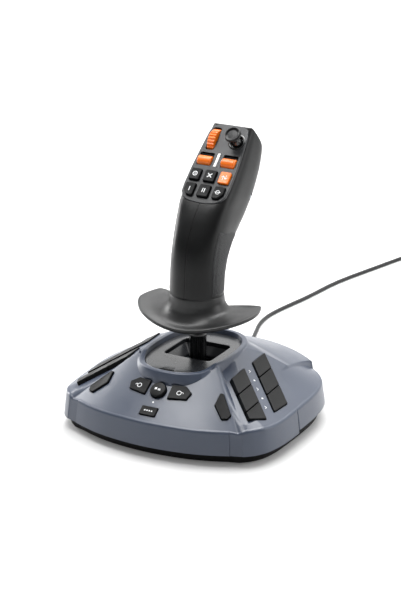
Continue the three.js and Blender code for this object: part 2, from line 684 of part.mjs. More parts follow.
// ---------------------------------------------------------------- cord
function cord() {
  const centre = new THREE.Vector3(GLAND.x, GLAND.y, GLAND.z);
  const sleeve = [[0, 0], [4.2, 0], [4.2, 12], [3.2, 24], [0, 24]].map(([r, h]) => new THREE.Vector2(r, h));
  add('cord_gland', new THREE.LatheGeometry(sleeve, 16).translate(centre.x, centre.y, centre.z), CORD);
  const floor = CORD_END.z;
  const route = new THREE.CatmullRomCurve3([
    new THREE.Vector3(GLAND.x, GLAND.y + 25, GLAND.z), new THREE.Vector3(-31, 142, 13),
    new THREE.Vector3(-36, 166, 4), new THREE.Vector3(-44, 192, floor),
    new THREE.Vector3(-54, 222, floor), new THREE.Vector3(-62, 248, floor),
    new THREE.Vector3(-65, 274, floor), new THREE.Vector3(-62, 304, floor),
    new THREE.Vector3(-54, 350, floor), new THREE.Vector3(-46, 412, floor),
    new THREE.Vector3(-27, 485, floor), new THREE.Vector3(-12, 540, floor), CORD_END,
  ], false, 'centripetal');
  const shape = new THREE.Shape(circle(0, 0, CORD_R, 8).map(([x, y]) => new THREE.Vector2(x, y)));
  const tube = new THREE.ExtrudeGeometry(shape, { steps: 44, extrudePath: route, bevelEnabled: false });
  add('usb_cord', tube, CORD);
  coilAndPlug(route.getTangent(1));
}

// The spare length lies in a coil that the cord runs into along its edge, and the plug leaves it
// on the other side.
function coilAndPlug(along) {
  const side = new THREE.Vector3(along.y, -along.x, 0);
  const edge = COIL.outer - CORD_R;
  const middle = CORD_END.clone().addScaledVector(along, 17.2).addScaledVector(side, edge).setZ(0);
  const section = [
    [COIL.inner, COIL.low], [COIL.outer, COIL.low], [COIL.outer, COIL.high - 2],
    [COIL.outer - 3, COIL.high], [COIL.inner + 3, COIL.high], [COIL.inner, COIL.low],
  ].map(([r, z]) => new THREE.Vector2(r, z));
  const ring = new THREE.LatheGeometry(section, 24).rotateX(Math.PI / 2);
  add('cord_coil', ring.translate(middle.x, middle.y, 0), CORD);
  const start = middle.clone().addScaledVector(side, edge).addScaledVector(along, -25).setZ(4.2);
  const plugFrame = frameAt(start, new THREE.Vector3(0, 0, 1), along.clone().negate());
  const sleeve = prism(rectangle(0, 0, 7.6, 15), plugFrame, 0, 28, 1);
  add('usb_plug', join(sleeve, prism(rectangle(0, 0, 4.5, 12), plugFrame, 20, 46)), STEEL);
}

base();
keyMats();
bezel();
gimbal();
handRest();
grip();
faceControls();
trigger();
cord();

export default group;
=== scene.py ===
import math

import bpy
import numpy as np
from mathutils import Matrix, Vector


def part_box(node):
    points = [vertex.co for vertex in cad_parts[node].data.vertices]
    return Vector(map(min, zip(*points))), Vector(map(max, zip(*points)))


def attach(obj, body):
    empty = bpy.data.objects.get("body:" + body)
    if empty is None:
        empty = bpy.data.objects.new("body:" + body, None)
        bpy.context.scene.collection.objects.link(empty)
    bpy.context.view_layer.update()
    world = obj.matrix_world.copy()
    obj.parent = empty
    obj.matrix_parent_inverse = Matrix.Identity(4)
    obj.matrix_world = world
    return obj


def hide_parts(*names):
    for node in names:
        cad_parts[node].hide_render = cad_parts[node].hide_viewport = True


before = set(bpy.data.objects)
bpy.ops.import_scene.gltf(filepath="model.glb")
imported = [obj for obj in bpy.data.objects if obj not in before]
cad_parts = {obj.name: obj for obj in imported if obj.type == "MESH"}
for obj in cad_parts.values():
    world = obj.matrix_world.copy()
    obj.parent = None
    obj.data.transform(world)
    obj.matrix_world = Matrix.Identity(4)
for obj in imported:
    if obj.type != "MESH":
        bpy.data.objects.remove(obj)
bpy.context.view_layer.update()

# Flight joystick. Lengths are written in millimetres and turned into metres as a mesh is made.
MM = 0.001

# -------------- driving dimensions
GAP = 0.3

# Plan of the base: half of the outline at the top of its wall, from the front to the back.
# Its two CORNERS are the ends of the flat at each front corner.
OUTLINE = [
    (0, -111), (24, -109.5), (47, -105.7), (66, -99.8), (81, -93.5), (91.5, -90), (100, -82),
    (107, -69), (110.8, -50), (112, -25), (112, 8), (109.5, 35), (104, 54), (95, 69), (83, 81),
    (60, 96), (30, 107.5), (0, 111),
]
CORNERS = (4, 5)
WALL_DRAFT, WALL = 3, 2.6
SEAM_Y = -17
SKIRT_FRONT_Z, SKIRT_REAR_Z = 11, 14

# Top of the base: a roof that falls to the rear, lobes above the wall, and steps in the front.
REAR_Y, REAR_Z, REAR_R, REAR_FALL, REAR_STEP = 5, 44, 105, 0.43, 3
LOBE_Z, LOBE_FALL = 34, 0.58
PLATEAU_X = 79
FRONT_Y, FRONT_BLEND = 6, 8
NECK_Y = -13
NECK_W, NECK_L, NECK_POWER = 44, 61, 2.6
BEZEL_W, BEZEL_L, BEZEL_TOP, BEZEL_THICK = 38, 55, 70, 4
WELL_Y, WELL_W, WELL_L, WELL_FLOOR, WELL_BOTTOM = -6, 25, 23, 17.6, 57

# Keys of the base. A wing row has two skewed edges, an inner end and two outer corners.
WING_TOP, WING_FALL, WING_RISE, WING_SKEW = 97, 0.56, 0.05, 0.92
WING_ROWS = [(7.8, 34.4, 55.8, 92, 101.5), (49.4, 75.6, 56.4, 101, 102.8)]
WING_SPLITS = [70.6, 86]
WING_MARKS_X, WING_MARKS_LINE = (61.5, 69.5, 77.5, 85.5, 93.5), 41.9
PANEL_Y, PANEL_R, PANEL_Z, PANEL_SLOPE = 74, 184.7, 33, 0.7
KEY_CLEAR = 0.4

# Stick: the gimbal's pivot and the shaft.
PIVOT = Vector((0, -5, 40))
SHAFT_R, REST_BORE_R = 8.4, 8.7

# Hand rest: each ring's reach at the front, the side tips and the back, and its heights there.
REST_Y = -7.4
REST_RINGS = [
    (17, 17, 17, 102.5, 102.5, 102.5), (28, 34, 22, 98.5, 104, 103), (36.5, 58, 24.5, 99, 110.5, 108),
    (39.5, 61, 26, 102, 114, 111), (38.5, 59.5, 25.6, 104, 115.4, 113), (32, 47, 25, 106.6, 113.4, 114),
    (27.6, 33, 25.2, 113.5, 113.8, 116), (26.4, 27.6, 25.3, 119.5, 119.5, 120),
    (26, 26.5, 25.2, 125, 125, 125), (25.7, 26.1, 25, 128, 128, 128),
    (25.2, 25.6, 24.5, 128.4, 128.4, 128.4), (24.5, 25, 24, 127, 127, 127),
]

# Grip sections: height, front y, back y, half width and squareness.
GRIP = [
    (121, -32, 17, 25.6, 2.1), (133, -31.5, 17.5, 25.2, 2.2), (147, -30.5, 19.5, 24.8, 2.3),
    (161, -29.3, 25, 24.6, 2.5), (174, -27, 35, 24.6, 2.7), (184, -23.5, 46, 25, 2.9),
    (194, -18.5, 56.5, 25.8, 3.1), (205, -11.8, 65.5, 26.4, 3.4), (216, -3.5, 72.5, 26.8, 3.8),
    (232, 14.5, 81.5, 26.4, 4), (247, 31, 88, 25.2, 4), (259, 44, 89.5, 23.8, 4),
    (268, 54, 87, 22.4, 3.8), (274, 61.5, 80, 21, 3.4),
]
HEAD_TOP = 90
# How sharply the face and the slanted top meet the grip's sides.
EDGE_SHARPNESS = 15.0
# A pad lies between two directions round the grip, and its upper edge slants.
PAD_FROM, PAD_TO, PAD_LOW, PAD_HIGH_FRONT, PAD_HIGH_BACK = -0.52, 1.25, 130, 192, 172
SCREWS = [Vector((22.6, 75, 232.5)), Vector((24.6, 53.5, 210))]
TRIGGER_PLACE, TRIGGER_NORMAL = (0, 62, 190), (0, 0.93, -0.37)
TRIGGER_Q, TRIGGER_W, TRIGGER_L = 40, 18, 34

# Face of the head: a plane that climbs away from the user, with p across it and q up it.
FACE_ORIGIN = Vector((0, -2.5, 214.5))
FACE_SLOPE = Vector((0, 65.9, 60.3)).normalized()
PLATE = [
    (0, 0.8), (13, 2), (20, 5.4), (23.4, 11), (24, 20), (23.7, 38), (22.4, 58), (20.8, 78),
    (18.6, 85.5), (13.5, 88.3), (0, 89),
]
PLATE_THICK = 2.5
KEY_COLUMNS = (-15.5, 0, 15.5)
KEY_ROWS = (("upper", 30, 12.4), ("lower", 13.4, 13.2))
FACE_KEY_TOP = 2.6
FACE_MIDDLE_Q = 48.6
ROCKER_P, ROCKER_W, ROCKER_LONG, ROCKER_R, ROCKER_SUNK = 12.6, 14.6, 13.6, 6.6, 2.4
LIGHT_P, LIGHT_W, LIGHT_L = -0.4, 2.8, 15
WHEEL_P, WHEEL_Q, WHEEL_W, WHEEL_R, WHEEL_SUNK, WHEEL_SLOT = -13, 71.5, 7.4, 13, 7.6, 25.4
WHEEL_RIBS, RIB_DEPTH = 25, 0.9
MINI_P, MINI_Q, MINI_HOLE = 12, 71, 6.8
MARK_SINK, MARK_THICK = 0.08, 0.5

# Cord: its relief starts at the gland, and its end is wound up: turns per layer, points per turn.
CORD_R, CORD_LENGTH = 2, 1.8
GLAND, RELIEF_LONG = Vector((-30, 103, 17)), 24
COIL_TURNS, COIL_STEPS = 4, 24

# Camera, and the lights in metres: place, target, size, power and whether gloss reflects it.
CAMERA_PLACE = Vector((898.4, -1647.7, 793.1)) * MM
CAMERA_TARGET = Vector((-2.4, 4.5, 115.7)) * MM
CAMERA_LENS = 125.8
FLOOR_HALF = 60
LIGHTS = {
    "key": ((0.0, 0.75, 1.5), (0, 0, 0.1), (1.3, 0.9), 25, True),
    "top": ((-0.4, -0.05, 1.5), (0, 0, 0.1), (0.7, 0.6), 13, True),
    "left": ((-1.3, 0.25, 0.5), (0, 0, 0.16), (0.35, 1.3), 14, True),
    "right": ((1.3, 0.55, 0.6), (0, 0, 0.16), (0.4, 1.2), 4.5, True),
    "far": ((-1.3, 3.4, 1.8), (-1.6, 3.3, 0), (3.0, 1.8), 110, False),
}


# -------------- materials
def srgb(code):
    """Linear colour from a six-figure hex code."""
    parts = [int(code[i:i + 2], 16) / 255 for i in (0, 2, 4)]
    return tuple(c / 12.92 if c <= 0.04045 else ((c + 0.055) / 1.055) ** 2.4 for c in parts) + (1,)


def node(tree, kind, **values):
    """A new shader node with these inputs; an underscore in a name stands for a space."""
    made = tree.nodes.new("ShaderNode" + kind)
    for key, value in values.items():
        made.inputs[key.replace("_", " ")].default_value = value
    return made


def finish_of(name, colour, rough, grain=3000, bump=0.05, spread=0.06, shade=0.1, coat=0.0,
              metallic=0.0, sheen=0.0, specular=0.5):
    """A moulded finish: fine grain in the surface, and slow changes of gloss and of shade."""
    material = bpy.data.materials.new(name)
    material.use_nodes = True
    tree = material.node_tree
    link = tree.links.new
    shader = tree.nodes["Principled BSDF"]
    for key, value in (("Metallic", metallic), ("Coat Weight", coat), ("Coat Roughness", 0.18),
                       ("Sheen Weight", sheen), ("Specular IOR Level", specular)):
        shader.inputs[key].default_value = value
    where = node(tree, "TexCoord")
    fine = node(tree, "TexNoise", Scale=grain, Detail=2.0)
    slow = node(tree, "TexNoise", Scale=34.0, Detail=4.0, Roughness=0.6)
    link(where.outputs["Object"], fine.inputs["Vector"])
    link(where.outputs["Object"], slow.inputs["Vector"])
    relief = node(tree, "Bump", Strength=1.0, Distance=bump * MM)
    link(fine.outputs["Fac"], relief.inputs["Height"])
    link(relief.outputs["Normal"], shader.inputs["Normal"])
    gloss = node(tree, "MapRange", From_Min=0.3, From_Max=0.7)
    gloss.inputs["To Min"].default_value = max(rough - spread, 0.03)
    gloss.inputs["To Max"].default_value = rough + spread
    link(slow.outputs["Fac"], gloss.inputs["Value"])
    link(gloss.outputs["Result"], shader.inputs["Roughness"])
    tint = node(tree, "Mix")
    tint.data_type = "RGBA"
    base = srgb(colour)
    tint.inputs[6].default_value = tuple(c * (1 - shade) for c in base[:3]) + (1,)
    tint.inputs[7].default_value = tuple(min(c * (1 + shade), 1) for c in base[:3]) + (1,)
    link(slow.outputs["Fac"], tint.inputs[0])
    link(tint.outputs[2], shader.inputs["Base Color"])
    return material


def textured_rubber(name, colour):
    """Rubber with rows of small raised dots."""
    material = finish_of(name, colour, 0.72, grain=2600, bump=0.08, shade=0.18, sheen=0.15)
    tree = material.node_tree
    link = tree.links.new
    where = next(n for n in tree.nodes if n.type == "TEX_COORD")
    relief = next(n for n in tree.nodes if n.type == "BUMP")
    cells = node(tree, "TexVoronoi", Scale=780.0, Randomness=0.5)
    link(where.outputs["Object"], cells.inputs["Vector"])
    dots = node(tree, "MapRange", From_Min=0.15, From_Max=0.5, To_Min=1.0, To_Max=0.0)
    link(cells.outputs["Distance"], dots.inputs["Value"])
    second = node(tree, "Bump", Strength=1.0, Distance=0.45 * MM)
    link(dots.outputs["Result"], second.inputs["Height"])
    link(relief.outputs["Normal"], second.inputs["Normal"])
    link(second.outputs["Normal"], tree.nodes["Principled BSDF"].inputs["Normal"])
    return material


SLATE = finish_of("slate", "3f4757", 0.33, grain=2400, bump=0.03, spread=0.05, shade=0.06, coat=0.15)
FINE_GRAIN = {"grain": 3400, "bump": 0.04, "spread": 0.05, "shade": 0.25}
SATIN = finish_of("satin_black", "090a0b", 0.33, **FINE_GRAIN, specular=0.3)
# The hand rest's black plastic, a little lighter than the grip's black: the lighter tone is a painted
# highlight for the broad sheen on its top.
REST = finish_of("rest_black_painted_highlight", "101112", 0.4, **FINE_GRAIN, specular=0.55)
# Black plastic, darker and duller than the grip's black: partly the real black, partly painted shade for
# the skirt under the wall and the blocks in the rocker openings.
SHADE_BLACK = finish_of("black_painted_shade", "050506", 0.6, shade=0.2, specular=0.12)
KEYS = finish_of("key_black", "0a0b0c", 0.42, grain=3600, bump=0.025, shade=0.15, specular=0.16)
PLATE_GREY = finish_of("plate_charcoal", "1e2023", 0.4, grain=2800, bump=0.04, shade=0.14)
GLOSS = finish_of("gloss_black", "121314", 0.15, grain=1800, bump=0.006, spread=0.04, shade=0.15,
                  coat=0.4)
# Gloss black for the bezel plate and the well, lightened to grey: partly the plate's own dark grey,
# partly a painted reflection of the bright surroundings.
BEZEL = finish_of("bezel_grey_painted_reflection", "26282b", 0.26, grain=1800, bump=0.012, spread=0.05, shade=0.12,
                  coat=0.4)
ORANGE = finish_of("orange", "f47404", 0.36, grain=3200, bump=0.03, shade=0.06, coat=0.2)
RUBBER = textured_rubber("rubber", "1c1d1f")
PLAIN_RUBBER = finish_of("plain_rubber", "101112", 0.8, grain=2200, bump=0.1, shade=0.2, sheen=0.1)
STEEL = finish_of("steel", "9aa0a6", 0.3, grain=1600, bump=0.02, metallic=0.95, shade=0.08)
BOARD = finish_of("board", "1d4a34", 0.5, grain=900, shade=0.25)
CLEAR = finish_of("clear", "f8fafa", 0.22, grain=1500, bump=0.01, shade=0.03)
PRINT = finish_of("print_white", "eceeef", 0.5, grain=2500, bump=0.02, shade=0.04)
CORD = finish_of("cord", "1a1b1c", 0.5, grain=1500, bump=0.06, shade=0.15)


# -------------- solids
def add_object(name, data):
    obj = bpy.data.objects.new(name, data)
    bpy.context.scene.collection.objects.link(obj)
    return obj


def mesh_object(name, points, faces, material, sharp=40):
    mesh = bpy.data.meshes.new(name)
    mesh.from_pydata([tuple(c * MM for c in p) for p in points], [], faces)
    mesh.update()
    obj = add_object(name, mesh)
    obj.data.materials.append(material)
    smooth(obj, sharp)
    return obj


def smooth(obj, sharp=40):
    for polygon in obj.data.polygons:
        polygon.use_smooth = True
    obj.data.set_sharp_from_angle(angle=math.radians(sharp))


def placed(turn, points):
    """The points of a frame in the shared frame."""
    return [tuple(turn @ Vector(p)) for p in points]


def ring_of(x, y, z):
    """Points from arrays of x and y, and z as an array or one height."""
    return [tuple(p) for p in np.column_stack([x, y, np.broadcast_to(z, x.shape)])]


def weigh(obj):
    """Keeps flat faces flat beside their rounded edges."""
    modifier = obj.modifiers.new("flats", "WEIGHTED_NORMAL")
    modifier.keep_sharp = True
    return obj


def fit(obj, body, slot, *nodes):
    """The piece takes the place of these CAD nodes and moves with that body."""
    if nodes:
        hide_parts(*nodes)
    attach(obj, body)
    return obj


def loft(name, rings, material, closed=False, sharp=40):
    """A skin through rings of points, capped at both ends or closed on itself."""
    count = len(rings[0])
    points = [p for ring in rings for p in ring]
    faces = []
    for band in range(len(rings) if closed else len(rings) - 1):
        low, high = band * count, ((band + 1) % len(rings)) * count
        for i in range(count):
            j = (i + 1) % count
            faces.append((low + i, low + j, high + j, high + i))
    if not closed:
        for ring, start, first in ((rings[0], 0, True), (rings[-1], (len(rings) - 1) * count, False)):
            points.append(tuple(sum(p[k] for p in ring) / count for k in range(3)))
            for i in range(count):
                j = (i + 1) % count
                a, b = (start + j, start + i) if first else (start + i, start + j)
                faces.append((a, b, len(points) - 1))
    return mesh_object(name, points, faces, material, sharp)


def frame_at(origin, across, normal):
    """A frame with x along `across` and z along `normal`."""
    x, z = Vector(across).normalized(), Vector(normal).normalized()
    y = z.cross(x)
    turn = Matrix((x, y, z)).transposed().to_4x4()
    turn.translation = origin
    return turn


def upright(x, y, z=0):
    return frame_at((x, y, z), (1, 0, 0), (0, 0, 1))


def area_of(outline):
    """Above zero where the outline runs counter-clockwise."""
    return sum(a[0] * b[1] - b[0] * a[1] for a, b in zip(outline, outline[1:] + outline[:1]))


def inset(outline, amount):
    """Moves every edge of a convex outline in by `amount`, or out if it is negative."""
    points = [Vector(p) for p in outline]
    turn = 1 if area_of(outline) > 0 else -1
    moved = []
    for i, point in enumerate(points):
        before = (point - points[i - 1]).normalized()
        after = (points[(i + 1) % len(points)] - point).normalized()
        inward = Vector((-before.y - after.y, before.x + after.x)) * turn
        moved.append(point + inward * (2 * amount / inward.length_squared))
    return [tuple(p) for p in moved]


def rounded(outline, radius, steps=6):
    """The outline with a curve in place of each corner."""
    points = [Vector(p) for p in outline]
    curve = []
    for i, point in enumerate(points):
        back = points[i - 1] - point
        on = points[(i + 1) % len(points)] - point
        half = back.angle(on) / 2
        reach = min(radius / math.tan(half), 0.46 * back.length, 0.46 * on.length)
        start, end = point + back.normalized() * reach, point + on.normalized() * reach
        for k in range(steps + 1):
            t = k / steps
            curve.append(tuple(start * (1 - t) ** 2 + point * 2 * t * (1 - t) + end * t ** 2))
    return curve


def counter_clockwise(outline):
    return list(outline) if area_of(outline) > 0 else list(reversed(outline))


def block(name, outline, turn, low, high, material, corner=1.0, edge=0.7, dish=0.0, foot=0.0):
    """A block on a frame with rounded corners and edges; its top is dished, or domed if negative."""
    outline = counter_clockwise(outline)
    middle = Vector((sum(p[0] for p in outline), sum(p[1] for p in outline))) / len(outline)
    shape = rounded(outline, corner)
    rings = []

    def ring(amount, height):
        flat = rounded(inset(outline, amount), max(corner - amount, 0.25)) if amount else shape
        rings.append(placed(turn, [(x, y, height) for x, y in flat]))

    if foot:
        ring(foot, low)
    ring(0, low + foot)
    ring(0, high - edge)
    for k in range(1, 6):
        angle = k / 5 * math.pi / 2
        ring(edge * (1 - math.cos(angle)), high - edge + edge * math.sin(angle))
    flat = rounded(inset(outline, edge), max(corner - edge, 0.25))
    for share in (0.94, 0.84, 0.7, 0.5, 0.25):
        depth = dish * (1 - share ** 2)
        rings.append(placed(turn, [(middle.x + (x - middle.x) * share,
                                    middle.y + (y - middle.y) * share, high - depth) for x, y in flat]))
    return weigh(loft(name, rings, material))


def prism(outline, turn, low, high, flare=0.0, mouth=0.0):
    """A plain cutter; its sides open out by `flare` from `flare` below the height `mouth`."""
    outline = counter_clockwise(outline)
    levels = [(0, low), (0, high)]
    if flare:
        levels = [(0, low), (0, mouth - flare), (-2 * flare, mouth + flare), (-2 * flare, high)]
    rings = [placed(turn, [(x, y, z) for x, y in (inset(outline, a) if a else outline)])
             for a, z in levels]
    return loft("cutter", rings, SHADE_BLACK)


def lathe(name, profile, turn, material, sides=64, sharp=40, closed=False):
    """Turns (radius, height) points about the frame's z axis."""
    angles = np.linspace(0, 2 * math.pi, sides, endpoint=False)
    rings = [placed(turn, [(r * math.cos(a), r * math.sin(a), h) for a in angles]) for r, h in profile]
    return loft(name, rings, material, closed, sharp)


def subtract(obj, cutters, sharp=35):
    """Takes the cutters out of obj, and rubs them out."""
    bpy.ops.object.select_all(action="DESELECT")
    for cutter in cutters:
        cutter.select_set(True)
    bpy.context.view_layer.objects.active = cutters[0]
    if len(cutters) > 1:
        bpy.ops.object.join()
    tool = bpy.context.view_layer.objects.active
    modifier = obj.modifiers.new("cut", "BOOLEAN")
    modifier.operation = "DIFFERENCE"
    modifier.solver = "EXACT"
    modifier.object = tool
    graph = bpy.context.evaluated_depsgraph_get()
    cut = bpy.data.meshes.new_from_object(obj.evaluated_get(graph))
    obj.modifiers.clear()
    obj.data = cut
    bpy.data.objects.remove(tool)
    smooth(obj, sharp)
    return obj


def smoothstep(value, low, high):
    t = np.clip((value - low) / (high - low), 0, 1)
    return t * t * (3 - 2 * t)


def catmull(points, steps):
    """A smooth line through points of any dimension."""
    points = [np.array(p, float) for p in points]
    last = len(points) - 1
    line = []
    for i in range(last):
        a, b, c, d = (points[min(max(i + k, 0), last)] for k in (-1, 0, 1, 2))
        for k in range(steps):
            t = k / steps
            line.append(0.5 * (2 * b + (c - a) * t + (2 * a - 5 * b + 4 * c - d) * t ** 2
                               + (3 * b - a - 3 * c + d) * t ** 3))
    return line + [points[-1]]


def both_sides(half):
    """A whole outline from its right half, which starts and ends on the middle line."""
    return list(half) + [(-x, y) for x, y in reversed(half[1:-1])]


def mirror(outline):
    return [(-x, y) for x, y in outline]


def rectangle(x, y, w, l, angle=0.0):
    c, s = math.cos(angle), math.sin(angle)
    return [(x + c * a - s * b, y + s * a + c * b)
            for a, b in ((-w / 2, -l / 2), (w / 2, -l / 2), (w / 2, l / 2), (-w / 2, l / 2))]


def circle(x, y, r, sides=40):
    return [(x + r * math.cos(a), y + r * math.sin(a))
            for a in np.linspace(0, 2 * math.pi, sides, endpoint=False)]


# -------------- camera
camera = add_object("camera", bpy.data.cameras.new("camera"))
camera.location = CAMERA_PLACE
camera.rotation_euler = (CAMERA_TARGET - camera.location).to_track_quat("-Z", "Y").to_euler()
camera.data.lens = CAMERA_LENS
bpy.context.scene.camera = camera


# -------------- cord
def centre_of(name):
    """A node's middle and size."""
    low, high = (Vector(corner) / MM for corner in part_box(name))
    return (low + high) / 2, high - low


def cord_path():
    """Along the table, into a coil of two layers, and out on its far side to the plug."""
    floor = CORD_R + 0.1
    route = [Vector(p) for p in catmull([
        (GLAND.x, GLAND.y + RELIEF_LONG, GLAND.z), (-31, 142, 13), (-36, 166, 4), (-44, 192, floor),
        (-54, 222, floor), (-62, 248, floor), (-65, 274, floor), (-62, 304, floor), (-54, 350, floor),
        (-46, 412, floor), (-27, 485, floor), (-12, 540, floor), (0, 585, floor),
    ], 3)]
    along = (route[-1] - route[-2]).normalized()
    side = Vector((along.y, -along.x, 0))
    middle, size = centre_of("cord_coil")
    outer = size.x / 2 - CORD_R
    first = math.atan2(-side.y, -side.x)
    pitch, climb = 2 * CORD_R + 0.1, 10
    total = COIL_TURNS * COIL_STEPS

    def at(step, radius, height):
        angle = first - 2 * math.pi * step / COIL_STEPS
        return Vector((middle.x + radius * math.cos(angle), middle.y + radius * math.sin(angle), height))

    path = route + [at(k, outer - pitch * k / COIL_STEPS, floor) for k in range(total + 1)]
    inner = outer - pitch * COIL_TURNS
    for k in range(1, total + COIL_STEPS // 2 + 1):
        spread = max(k - climb, 0) / (total - climb)
        radius = min(inner + (outer - inner) * spread, outer)
        path.append(at(total + k, radius, floor + pitch * min(k / climb, 1)))
    end = path[-1]
    path.append(end - along * 12 - Vector((0, 0, 0.7)))
    path.append(end - along * 26 - Vector((0, 0, 2)))
    return path, along


def tube(name, path, radius, material):
    data = bpy.data.curves.new(name, "CURVE")
    data.dimensions = "3D"
    spline = data.splines.new("POLY")
    spline.points.add(len(path) - 1)
    for point, place in zip(spline.points, path):
        point.co = (*(place * MM), 1)
    data.bevel_depth = radius * MM
    data.bevel_resolution = 4
    data.use_fill_caps = True
    data.materials.append(material)
    return add_object(name, data)


def cord():
    path, along = cord_path()
    lead = tube("lead", path, CORD_R, CORD)
    fit(lead, "base", "cord_jacket", "usb_cord", "cord_coil")
    turn = frame_at(GLAND, (1, 0, 0), (0, 1, 0))
    ribs = [(0, 0), (4.2, 0), (4.2, 4)]
    for k in range(5):
        h = 5 + 3.4 * k
        r = 4.1 - 0.22 * k
        ribs += [(r, h), (r, h + 1.5), (r - 0.7, h + 1.9), (r - 0.7, h + 2.9)]
    ribs += [(2.9, 23), (2.5, 24), (0, 24)]
    gland = lathe("cord_relief", ribs, turn, CORD, 40, 30)
    fit(gland, "base", "cord_jacket", "cord_gland")
    plug = usb_plug(path[-1], along)


def usb_plug(start, along):
    """A moulded grip with a metal shell that shows at its end."""
    turn = frame_at(start - along * 0.5, (0, 0, 1), -along)
    collar = lathe("plug_collar", [(0, -5), (2.3, -5), (2.6, -3), (3.2, 1), (0, 1)], turn, CORD, 32)
    fit(collar, "base", "cord_jacket")
    body = block("plug_body", rectangle(0, 0, 7.6, 15), turn, 0, 28, CORD, 1.6, 1.2, foot=1.2)
    shell = block("plug_shell", rectangle(0, 0, 4.5, 12), turn, 26, 46, STEEL, 0.4, 0.3, dish=0.4)
    fit(shell, "base", "steel")
    collar.parent = body
    shell.parent = body
    fit(body, "base", "steel", "usb_plug")
    return body


cord()


# -------------- form of the base
def smooth_outline():
    """Curves between the two corners of each front side, which are joined by a flat."""
    first, last = CORNERS
    front = catmull(mirror(list(reversed(OUTLINE[1:first + 1]))) + OUTLINE[:first + 1], 10)
    side = OUTLINE[last:]
    rest = catmull(side + mirror(list(reversed(side[:-1]))), 10)
    return np.array(front + rest)


EDGE = smooth_outline()
EDGE_ANGLE = np.arctan2(EDGE[:, 1] - NECK_Y, EDGE[:, 0])
EDGE_REACH = np.hypot(EDGE[:, 0], EDGE[:, 1] - NECK_Y)
ORDER = np.argsort(EDGE_ANGLE)


def reach(angle):
    """How far the wall's top is from the neck's middle."""
    return np.interp(angle, EDGE_ANGLE[ORDER], EDGE_REACH[ORDER], period=2 * math.pi)


def neck_reach(angle, w, l):
    x = np.abs(np.cos(angle) / w) ** NECK_POWER
    y = np.abs(np.sin(angle) / l) ** NECK_POWER
    return (x + y) ** (-1 / NECK_POWER)


def base_angles(count):
    """Even directions round the neck, and close ones where the wall's seam is."""
    angles = list(np.linspace(-math.pi, math.pi, count, endpoint=False))
    for step in (-1.2, -0.7, -0.35, 0, 0.35, 0.7, 1.2):
        right = [math.atan2(SEAM_Y + step - NECK_Y, 113)]
        right += [math.atan2(OUTLINE[i][1] + step * 0.7 - NECK_Y, OUTLINE[i][0]) for i in CORNERS]
        for angle in right:
            angles += [angle, -math.pi - angle if angle < 0 else math.pi - angle]
    return np.array(sorted(angles))


ANGLES = base_angles(520)


def panel_height(x, y):
    return PANEL_Z + PANEL_SLOPE * (PANEL_R - np.hypot(x, y - PANEL_Y))


def wing_height(x, y):
    return WING_TOP - WING_FALL * np.abs(x) + WING_RISE * y


def groove(distance, depth, width):
    """A shallow furrow with soft sides."""
    return depth * np.exp(-(distance / width) ** 2)


def top_height(angle, x, y):
    """Height of the cover's top, with a furrow at each side of the strip beside the panel."""
    inside = reach(angle) - np.hypot(x, y - NECK_Y)
    rear = REAR_Z + REAR_FALL * (REAR_R - np.hypot(x, y - REAR_Y))
    rear = rear + REAR_STEP * (1 - smoothstep(y, 20, 40))
    roof = np.minimum(wing_height(x, y), rear)
    lobe = np.minimum(roof, LOBE_Z + LOBE_FALL * inside)
    plateau = smoothstep(PLATEAU_X - np.abs(x), 0, 2.2) * smoothstep(y, 14, 26)
    flank = lobe + (roof - lobe) * plateau
    step = FRONT_Y - y - np.abs(x)
    front = np.clip(step / FRONT_BLEND, 0, 1)
    height = flank + (panel_height(x, y) - flank) * front
    return height - groove(step - 0.2, 0.35, 1.7) - groove(step - 7.8, 0.3, 1.7)


def across_and_back(r):
    """The places at distance r from the neck's middle, in every direction."""
    return r * np.cos(ANGLES), NECK_Y + r * np.sin(ANGLES)


def polar(r, z):
    return ring_of(*across_and_back(r), z)


def hem_height():
    return np.where(NECK_Y + reach(ANGLES) * np.sin(ANGLES) < SEAM_Y, SKIRT_FRONT_Z, SKIRT_REAR_Z)


def wall_seam():
    """How deep the wall is sunk at its side seams and along the flats at its front corners."""
    x, y = across_and_back(reach(ANGLES))
    x = np.abs(x)
    depth = np.where(x > 60, groove(y - SEAM_Y, 0.7, 0.5), 0)
    (ax, ay), (bx, by) = (OUTLINE[i] for i in CORNERS)
    long = math.hypot(bx - ax, by - ay)
    along = ((x - ax) * (bx - ax) + (y - ay) * (by - ay)) / long
    strip = smoothstep(along, -0.7, 0.1) * (1 - smoothstep(along, long - 0.1, long + 0.7))
    return depth + np.where(y < -80, 0.8 * strip, 0)


def top_at(r):
    return top_height(ANGLES, *across_and_back(r))


def on_top(r, drop=0.0):
    return polar(r, top_at(r) - drop)


def neck_rim():
    return BEZEL_TOP + 0.4 + 4 * smoothstep(np.sin(ANGLES), -0.85, -0.55)


def neck_ring(grow, z):
    return polar(neck_reach(ANGLES, BEZEL_W + grow, BEZEL_L + grow), z)


